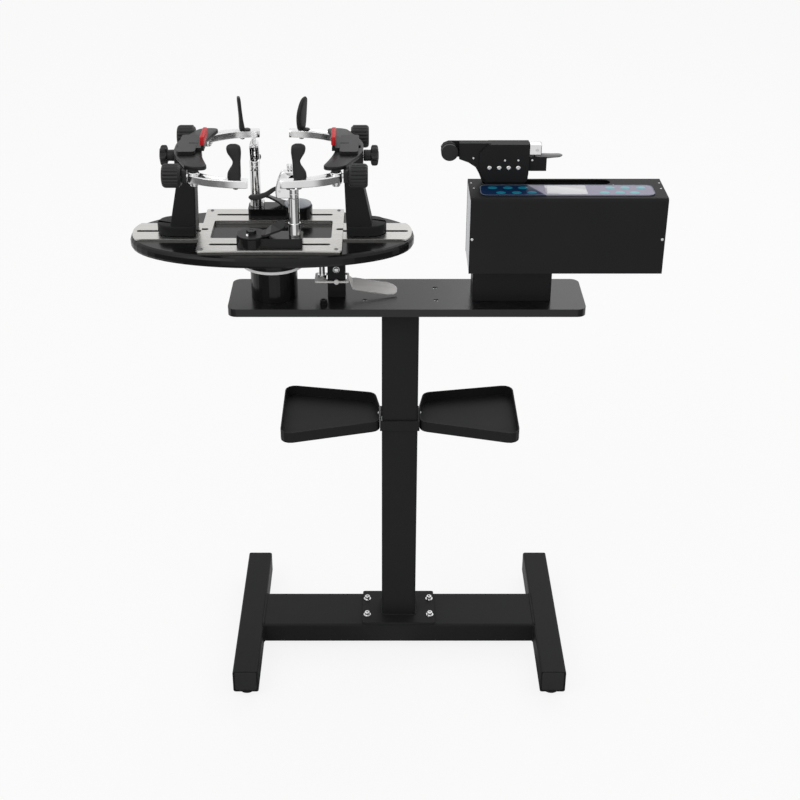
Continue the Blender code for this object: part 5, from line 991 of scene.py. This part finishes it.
class STRINGER_OT_clamp_fittings(StringerStep):
    """Replace the clamp levers with moulded handles, and set the clamps' pins and pegs and a lever's cap"""

    bl_idname = "stringer.clamp_fittings"
    bl_label = "Clamp fittings"
    # Millimetres at the knots along the handle.
    KNOTS = (0.0, 0.10, 0.25, 0.45, 0.60, 0.75, 0.92, 1.0)
    REACH = (-1.0, 3.5, 11.0, 22.0, 32.0, 41.0, 49.0, 52.0)
    RISE = (5.4, 4.4, 0.4, -7.6, -11.4, -12.6, -12.8, -12.6)
    THICK = (1.0, 2.8, 3.6, 4.0, 4.3, 4.5, 4.0, 1.0)
    WIDE = (1.0, 2.4, 2.5, 3.0, 4.8, 6.4, 5.6, 1.2)
    PIN = ((0.0020, -0.0071), (0.0024, -0.0067), (0.0024, 0.0067), (0.0020, 0.0071))
    DISH = (
        (0.0236, 0.0022), (0.0242, 0.0028), (0.0242, 0.0040), (0.0230, 0.0050), (0.0150, 0.0074), (0.0110, 0.0094),
        (0.0040, 0.0102),
    )
    REAR_PEG = ((0.0019, 0.0), (0.0019, 0.0160), (0.0015, 0.0168), (0.0006, 0.0170))
    FRONT_PEG = ((0.0022, 0.0), (0.0024, 0.0004), (0.0024, 0.0060), (0.0018, 0.0068), (0.0006, 0.0070))

    def make(self):
        """Each handle is swept outwards from its pivot along the eased line of its reach and rise."""
        pivot_reach, pivot_height = 0.0225, 0.9699
        u, z, thick, wide = (eased(self.KNOTS, row, 44) for row in (self.REACH, self.RISE, self.THICK, self.WIDE))
        for row, (x, y, (ux, uy)) in CLAMP_POSTS.items():
            name = f"clamp_lever_{row}"
            outward, sideways = np.array([ux, uy, 0.0]), np.array([-uy, ux, 0.0])
            pivot = np.array([x, y, pivot_height]) + outward * pivot_reach
            path = pivot + u[:, None] * outward
            path[:, 2] += z
            slope = np.gradient(path, axis=0)
            slope /= np.linalg.norm(slope, axis=1)[:, None]
            handle = swept(path, sideways, np.cross(sideways, slope), wide, thick, 2.8, 28)
            moulding = piece(name + "_handle", [handle], "black_plastic", name, 60.0)
            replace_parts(moulding, name)
            piece(name + "_pin", [turned(self.PIN, pivot, sideways, steps=20)], "fastener_steel", name)
        rear = turned(self.REAR_PEG, (-0.2268, 0.0545, 0.8900), steps=20)
        piece("clamp_peg_rear", [rear], "chrome", "clamp_base_rear")
        dish = turned(self.DISH, (-0.1681, CLAMP_POSTS["rear"][1], span("base_lever_rear")[0][2]), steps=64)
        piece("base_lever_rear_cap", [dish], "lever_dish", "base_lever_rear")
        front = turned(self.FRONT_PEG, (-0.2440, -0.0815, 0.8903), steps=20)
        piece("clamp_peg_front", [front], "chrome", "clamp_base_front")


class STRINGER_OT_brake_bolt(StringerStep):
    """Put the bolt on the brake's upright and the stop bolt beside it"""

    bl_idname = "stringer.brake_bolt"
    bl_label = "Brake bolt"

    def make(self):
        washer_thickness, height = 0.0010, 0.8040
        x, face = middle("brake_post")[0], span("brake_post")[0][1]
        bolt = [
            washer(0.0060, washer_thickness, (x, face, height), AHEAD),
            button_head(0.0050, 0.0032, (x, face - washer_thickness, height), AHEAD),
        ]
        piece("brake_bolt", bolt, "fastener_steel", "stand")
        x, y, top = -0.1210, -0.0410, span("top_plate")[1][2]
        stop = [
            washer(0.0072, WASHER, (x, y, top), UP),
            cap_screw(0.0062, 0.0065, (x, y, top + WASHER), UP),
        ]
        piece("brake_stop_bolt", stop, "gloss_black", "stand")


class STRINGER_OT_housing_fittings(StringerStep):
    """Fit the screws and the inlet's contacts of the tension head's housing"""

    bl_idname = "stringer.housing_fittings"
    bl_label = "Housing fittings"
    TOP_SCREWS = ((0.4490, -0.0053), (0.4475, -0.0320), (0.1310, -0.0053), (0.1345, -0.0300), (0.3703, -0.0150),
                  (0.3760, -0.0165))
    END_SCREWS = ((-0.068, 0.835), (-0.068, 0.945), (0.008, 0.835), (0.008, 0.945))
    CONTACTS = ((-0.0570, 0.8470), (-0.0500, 0.8505), (-0.0430, 0.8470))

    def make(self):
        low, high = span("head_cover")
        end = span("head_chassis")[1][0]
        radius, side_height, contact_depth = sizes().screw_radius, 0.8870, 0.0175
        screws = [
            button_head(radius, 0.0016, (x, y, side_height), (0, out, 0))
            for x in (low[0] + 0.0040, high[0] - 0.0050) for y, out in ((low[1], -1), (high[1], 1))
        ]
        screws += [button_head(0.0017, 0.0008, (x, y, high[2] - SUNK), UP) for x, y in self.TOP_SCREWS]
        screws += [button_head(radius, 0.0004, (end - 0.0001, y, z), (1, 0, 0)) for y, z in self.END_SCREWS]
        piece("housing_screws", screws, "fastener_steel", "stand")
        blades = [
            plate(0.0010, 0.0030, 0.0008, 0.013, 0.0004, (end - contact_depth, y, z), (1, 0, 0), steps=16)
            for y, z in self.CONTACTS
        ]
        piece("inlet_contacts", blades, "fastener_steel", "stand")


class STRINGER_OT_keypad(StringerStep):
    """Lay the keys, the window and the border on the keypad"""

    bl_idname = "stringer.keypad"
    bl_label = "Keypad"
    KEYS = (
        (-0.0320, (0.1655, 0.1910, 0.2160, 0.3620, 0.3870, 0.4130)),
        (-0.0550, (0.1780, 0.2040, 0.2290, 0.3500, 0.3755, 0.4000)),
    )
    WINDOW = (0.2525, 0.3215)

    def make(self):
        """A key is a flat dome: at share s its rim is drawn in as cos(0.92 s pi/2) and has risen as sin(s pi/2)."""
        low, high = span("keypad_panel")
        top, size = high[2], sizes()
        angle = angles(40)
        quarter = np.linspace(0.0, 1.0, 9)[:, None] * math.pi / 2
        draw = np.cos(quarter * 0.92)
        across = size.key_length / 2 * draw * np.cos(angle)
        deep = size.key_depth / 2 * draw * np.sin(angle)
        rise = np.broadcast_to(top - 0.0001 + 0.0009 * np.sin(quarter), across.shape)
        keys = [solid(np.stack([x + across, y + deep, rise], axis=-1)) for y, row in self.KEYS for x in row]
        piece("keypad_keys", keys, "keys", "stand", 70.0)
        margin = 0.0030
        outline = rectangle(*self.WINDOW, low[1] + margin, high[1] - margin, 0.0015)
        glass = solid(slab(outline, top - SUNK, top + 0.0005, 0.0003))
        piece("keypad_window", [glass], "window", "stand")
        outer, inner = (
            rectangle(low[0] + inset, high[0] - inset, low[1] + inset, high[1] - inset, 0.0130 - inset)
            for inset in (0.0002, 0.0014)
        )
        proud = top + 0.0003
        rings = [level(outer, top - SUNK), level(outer, proud), level(inner, proud), level(inner, top - SUNK)]
        piece("keypad_border", [solid(rings, loop=True)], "border", "stand")


class STRINGER_OT_gripper_fittings(StringerStep):
    """Fit the gripper's screws and cam block, and replace its lever and its string roller"""

    bl_idname = "stringer.gripper_fittings"
    bl_label = "Gripper fittings"
    SIDE_SCREWS = (0.1605, 0.1768, 0.1927, 0.2088)
    # X, height and half the width of the carriage there.
    SMALL_SCREWS = ((0.1861, 1.0009, 0.012), (0.2085, 1.0009, 0.012), (0.1335, 1.0035, 0.008), (0.2321, 1.0000, 0.008))
    GRIP_KNOTS = (0.0, 0.04, 0.3, 0.6, 0.92, 1.0)
    GRIP_HIGH = (2.5, 4.6, 4.4, 3.2, 2.7, 1.0)
    GRIP_WIDE = (4.0, 5.6, 5.9, 5.9, 5.6, 2.2)

    def make(self):
        half_width, height = 0.012, 0.9879
        screws = [
            button_head(0.0043, 0.0024, (x, out * half_width, height), (0, out, 0))
            for x in self.SIDE_SCREWS for out in (-1, 1)
        ]
        screws += [
            button_head(0.0021, 0.0013, (x, out * y, z), (0, out, 0))
            for x, z, y in self.SMALL_SCREWS for out in (-1, 1)
        ]
        piece("gripper_screws", screws, "fastener_steel", "gripper_carriage")
        cam_height = 1.0186
        cam = plate(0.0100, 0.0090, 0.0018, 0.0190, 0.0010, (0.2368, 0.0095, cam_height), AHEAD)
        piece("gripper_cam", [cam], "polished_aluminium", "gripper_carriage")
        screw = cap_screw(0.0026, 0.0012, (0.2395, -0.0094, cam_height), AHEAD)
        piece("gripper_cam_screw", [screw], "fastener_steel", "gripper_carriage")
        self.lever()
        self.roller()

    def lever(self):
        """The handle is a straight bar whose width and height are eased between the knots, on a turned axle."""
        count, start, reach = 30, (0.2380, 0.0, 1.0042), (0.0449, 0.0, 0.0022)
        path = np.array(start) + np.linspace(0.0, 1.0, count)[:, None] * np.array(reach)
        wide, high = (eased(self.GRIP_KNOTS, row, count) for row in (self.GRIP_WIDE, self.GRIP_HIGH))
        bottom, top = (corner[2] for corner in span("gripper_lever"))
        axle = [(0.0046, bottom), (0.0050, bottom + 0.0005), (0.0050, top - 0.0005), (0.0046, top)]
        grip = [swept(path, (0, 1, 0), UP, wide, high, 2.6, 28), turned(axle, (0.2399, 0.0, 0.0), steps=28)]
        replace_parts(piece("gripper_lever_handle", grip, "satin_grey", "gripper_lever"), "gripper_lever")

    @staticmethod
    def roller():
        """The roller is turned, with a groove round its middle that shows bare metal."""
        low, high = span("nose_roller")
        x, z = (low[0] + high[0]) / 2.0, (low[2] + high[2]) / 2.0
        r, d = (high[2] - low[2]) / 2.0, high[1] - low[1]
        profile = [
            (r - 0.0016, 0.0), (r - 0.0004, 0.0005), (r, 0.0014), (r, 0.0046), (r - 0.0005, 0.0054),
            (r - 0.0030, 0.0064), (r - 0.0042, 0.0076), (r - 0.0044, 0.0090), (r - 0.0042, 0.0104),
            (r - 0.0030, 0.0118), (r - 0.0005, 0.0128), (r, 0.0136), (r, d - 0.0008), (r - 0.0008, d),
        ]
        groove = [(r - 0.0028, 0.0066), (r - 0.0038, 0.0076), (r - 0.0040, 0.0090), (r - 0.0038, 0.0104),
                  (r - 0.0028, 0.0114)]
        skin, bare = (turned(rows, (x, low[1], z), (0, 1, 0), steps=64) for rows in (profile, groove))
        covered = piece("nose_roller_skin", [skin], "painted_casting", "nose_roller")
        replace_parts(covered, "nose_roller")
        piece("nose_roller_groove", [bare], "polished_aluminium", "nose_roller")


class STRINGER_OT_stage(StringerStep):
    """Set the floor, the lamps, the even room light and the camera"""

    bl_idname = "stringer.stage"
    bl_label = "Stage"

    def make(self):
        scene = bpy.context.scene
        stage = scene.stringer_stage
        scene.view_settings.view_transform = "Standard"
        self.floor(stage)
        self.room(scene, stage)
        self.lamp("key_lamp", (-1.9, -2.3, 3.0), 2.4, stage.key)
        self.lamp("back_lamp", (1.2, 2.4, 3.2), 2.6, stage.back)
        self.camera(scene)

    @staticmethod
    def floor(stage):
        """A white floor that is partly its own light. In reflections only, two bands of bearing on either side of the
        camera, smoothstep in times smoothstep out, are painted dark: a painted reflection of panels that don't stand
        there."""
        reach = 14.0
        tree, shader = blank("floor_paint", 0.9, 0.0, 0.0)
        place = own_place(tree)
        tones = [c * 0.995 for c in stage.floor] + [1.0], [*stage.floor, 1.0]
        feed(tree, shader, {"Base Color": blend(tree, noise(tree, place, 0.8, 2.0), *tones)})
        ray = node(tree, "ShaderNodeLightPath").outputs
        seen = maths(tree, "MULTIPLY", ray["Is Camera Ray"], stage.seen)
        mirrored = maths(tree, "MULTIPLY_ADD", ray["Is Glossy Ray"], 0.5, seen)
        parts = parts_of(tree, place)
        ahead = maths(tree, "MULTIPLY", parts["Y"], -1.0)
        bearing = maths(tree, "ARCTAN2", maths(tree, "ABSOLUTE", parts["X"]), ahead)
        # Painted reflection: glossy rays see the floor dark in these two bands of bearing, where nothing stands.
        into = remap(tree, bearing, 0.35, 0.60, interpolation_type="SMOOTHSTEP")
        out_of = remap(tree, bearing, 1.20, 1.50, 1.0, 0.0, interpolation_type="SMOOTHSTEP")
        shaded = maths(tree, "MULTIPLY", maths(tree, "MULTIPLY", into, out_of), ray["Is Glossy Ray"])
        share = maths(tree, "MULTIPLY", shaded, stage.flags)
        glow = node(tree, "ShaderNodeEmission", {"Color": WHITE, "Strength": 1.0}).outputs["Emission"]
        dark = node(tree, "ShaderNodeEmission", {"Color": (0.5, 0.5, 0.5, 1.0), "Strength": 0.1}).outputs["Emission"]
        paint = tree.nodes["Principled BSDF"].outputs["BSDF"]
        lit = node(tree, "ShaderNodeMixShader", {0: mirrored, 1: paint, 2: glow}).outputs["Shader"]
        last = node(tree, "ShaderNodeMixShader", {0: share, 1: lit, 2: dark}).outputs["Shader"]
        feed(tree, tree.nodes["Material Output"].inputs, {"Surface": last})
        mesh = bpy.data.meshes.new("floor")
        corners = [(-reach, -reach, 0.0), (reach, -reach, 0.0), (reach, reach, 0.0), (-reach, reach, 0.0)]
        mesh.from_pydata(corners, [], [(0, 1, 2, 3)])
        mesh.materials.append(finish_of("floor_paint"))
        add_object("floor", mesh)

    @staticmethod
    def room(scene, stage):
        """Even white light. The camera and reflections see it at full strength."""
        scene.world = bpy.data.worlds.new("room")
        scene.world.use_nodes = True
        tree = scene.world.node_tree
        ray = node(tree, "ShaderNodeLightPath").outputs
        seen = maths(tree, "MAXIMUM", ray["Is Camera Ray"], ray["Is Glossy Ray"])
        strength = remap(tree, seen, 0.0, 1.0, stage.sky, 1.0)
        feed(tree, tree.nodes["Background"].inputs, {"Color": WHITE, "Strength": strength})

    @staticmethod
    def lamp(name, place, size, power):
        """A square lamp that is turned to look at the machine's middle."""
        target = (0.0, 0.0, 0.7)
        data = bpy.data.lights.new(name, "AREA")
        data.shape = "SQUARE"
        data.size = size
        data.energy = power
        item = add_object(name, data)
        item.location = place
        turn = np.stack(basis(np.array(place) - np.array(target)), axis=-1)
        item.rotation_euler = Matrix(turn.tolist()).to_euler()

    @staticmethod
    def camera(scene):
        """The camera that took the photograph: its place, tilt and focal length for a 36 mm sensor."""
        data = bpy.data.cameras.new("camera")
        data.sensor_width = 36.0
        data.lens = 63.28
        data.shift_x = 0.02159
        item = add_object("camera", data)
        item.location = (-0.018331, -2.26403, 1.786321)
        item.rotation_euler = (math.radians(61.1106), 0.0, 0.0)
        scene.camera = item


class STRINGER_PT_panel(bpy.types.Panel):
    """Lists the steps in the sidebar"""

    bl_idname = "STRINGER_PT_panel"
    bl_label = "Stringing machine"
    bl_space_type = "VIEW_3D"
    bl_region_type = "UI"
    bl_category = "Stringer"

    def draw(self, context):
        """One button for each step, and one box for each group of settings."""
        for step in STEPS:
            self.layout.operator(step.bl_idname, text=step.bl_label)
        for name in GROUPS:
            box = self.layout.box()
            values = getattr(context.scene, name)
            for key in values.__annotations__:
                box.prop(values, key)


GROUPS = {"stringer_finish": StringerFinish, "stringer_sizes": StringerSizes, "stringer_stage": StringerStage}
STEPS = (
    STRINGER_OT_stage,
    STRINGER_OT_finishes,
    STRINGER_OT_foot_fittings,
    STRINGER_OT_tray_screws,
    STRINGER_OT_turntable_fittings,
    STRINGER_OT_towers,
    STRINGER_OT_racket_pads,
    STRINGER_OT_knobs,
    STRINGER_OT_side_arms,
    STRINGER_OT_side_supports,
    STRINGER_OT_clamp_heads,
    STRINGER_OT_clamp_fittings,
    STRINGER_OT_brake_bolt,
    STRINGER_OT_housing_fittings,
    STRINGER_OT_keypad,
    STRINGER_OT_gripper_fittings,
)
CLASSES = (*GROUPS.values(), *STEPS, STRINGER_PT_panel)


def register():
    """Adds the classes, and the three groups of settings to the scene."""
    for kind in CLASSES:
        bpy.utils.register_class(kind)
    for name, kind in GROUPS.items():
        setattr(bpy.types.Scene, name, bpy.props.PointerProperty(type=kind))


def unregister():
    """Takes away what register() added."""
    for name in GROUPS:
        delattr(bpy.types.Scene, name)
    for kind in reversed(CLASSES):
        bpy.utils.unregister_class(kind)


def main():
    """Runs every step in order."""
    register()
    for step in STEPS:
        category, action = step.bl_idname.split(".")
        getattr(getattr(bpy.ops, category), action)()


if __name__ == "__main__":
    main()
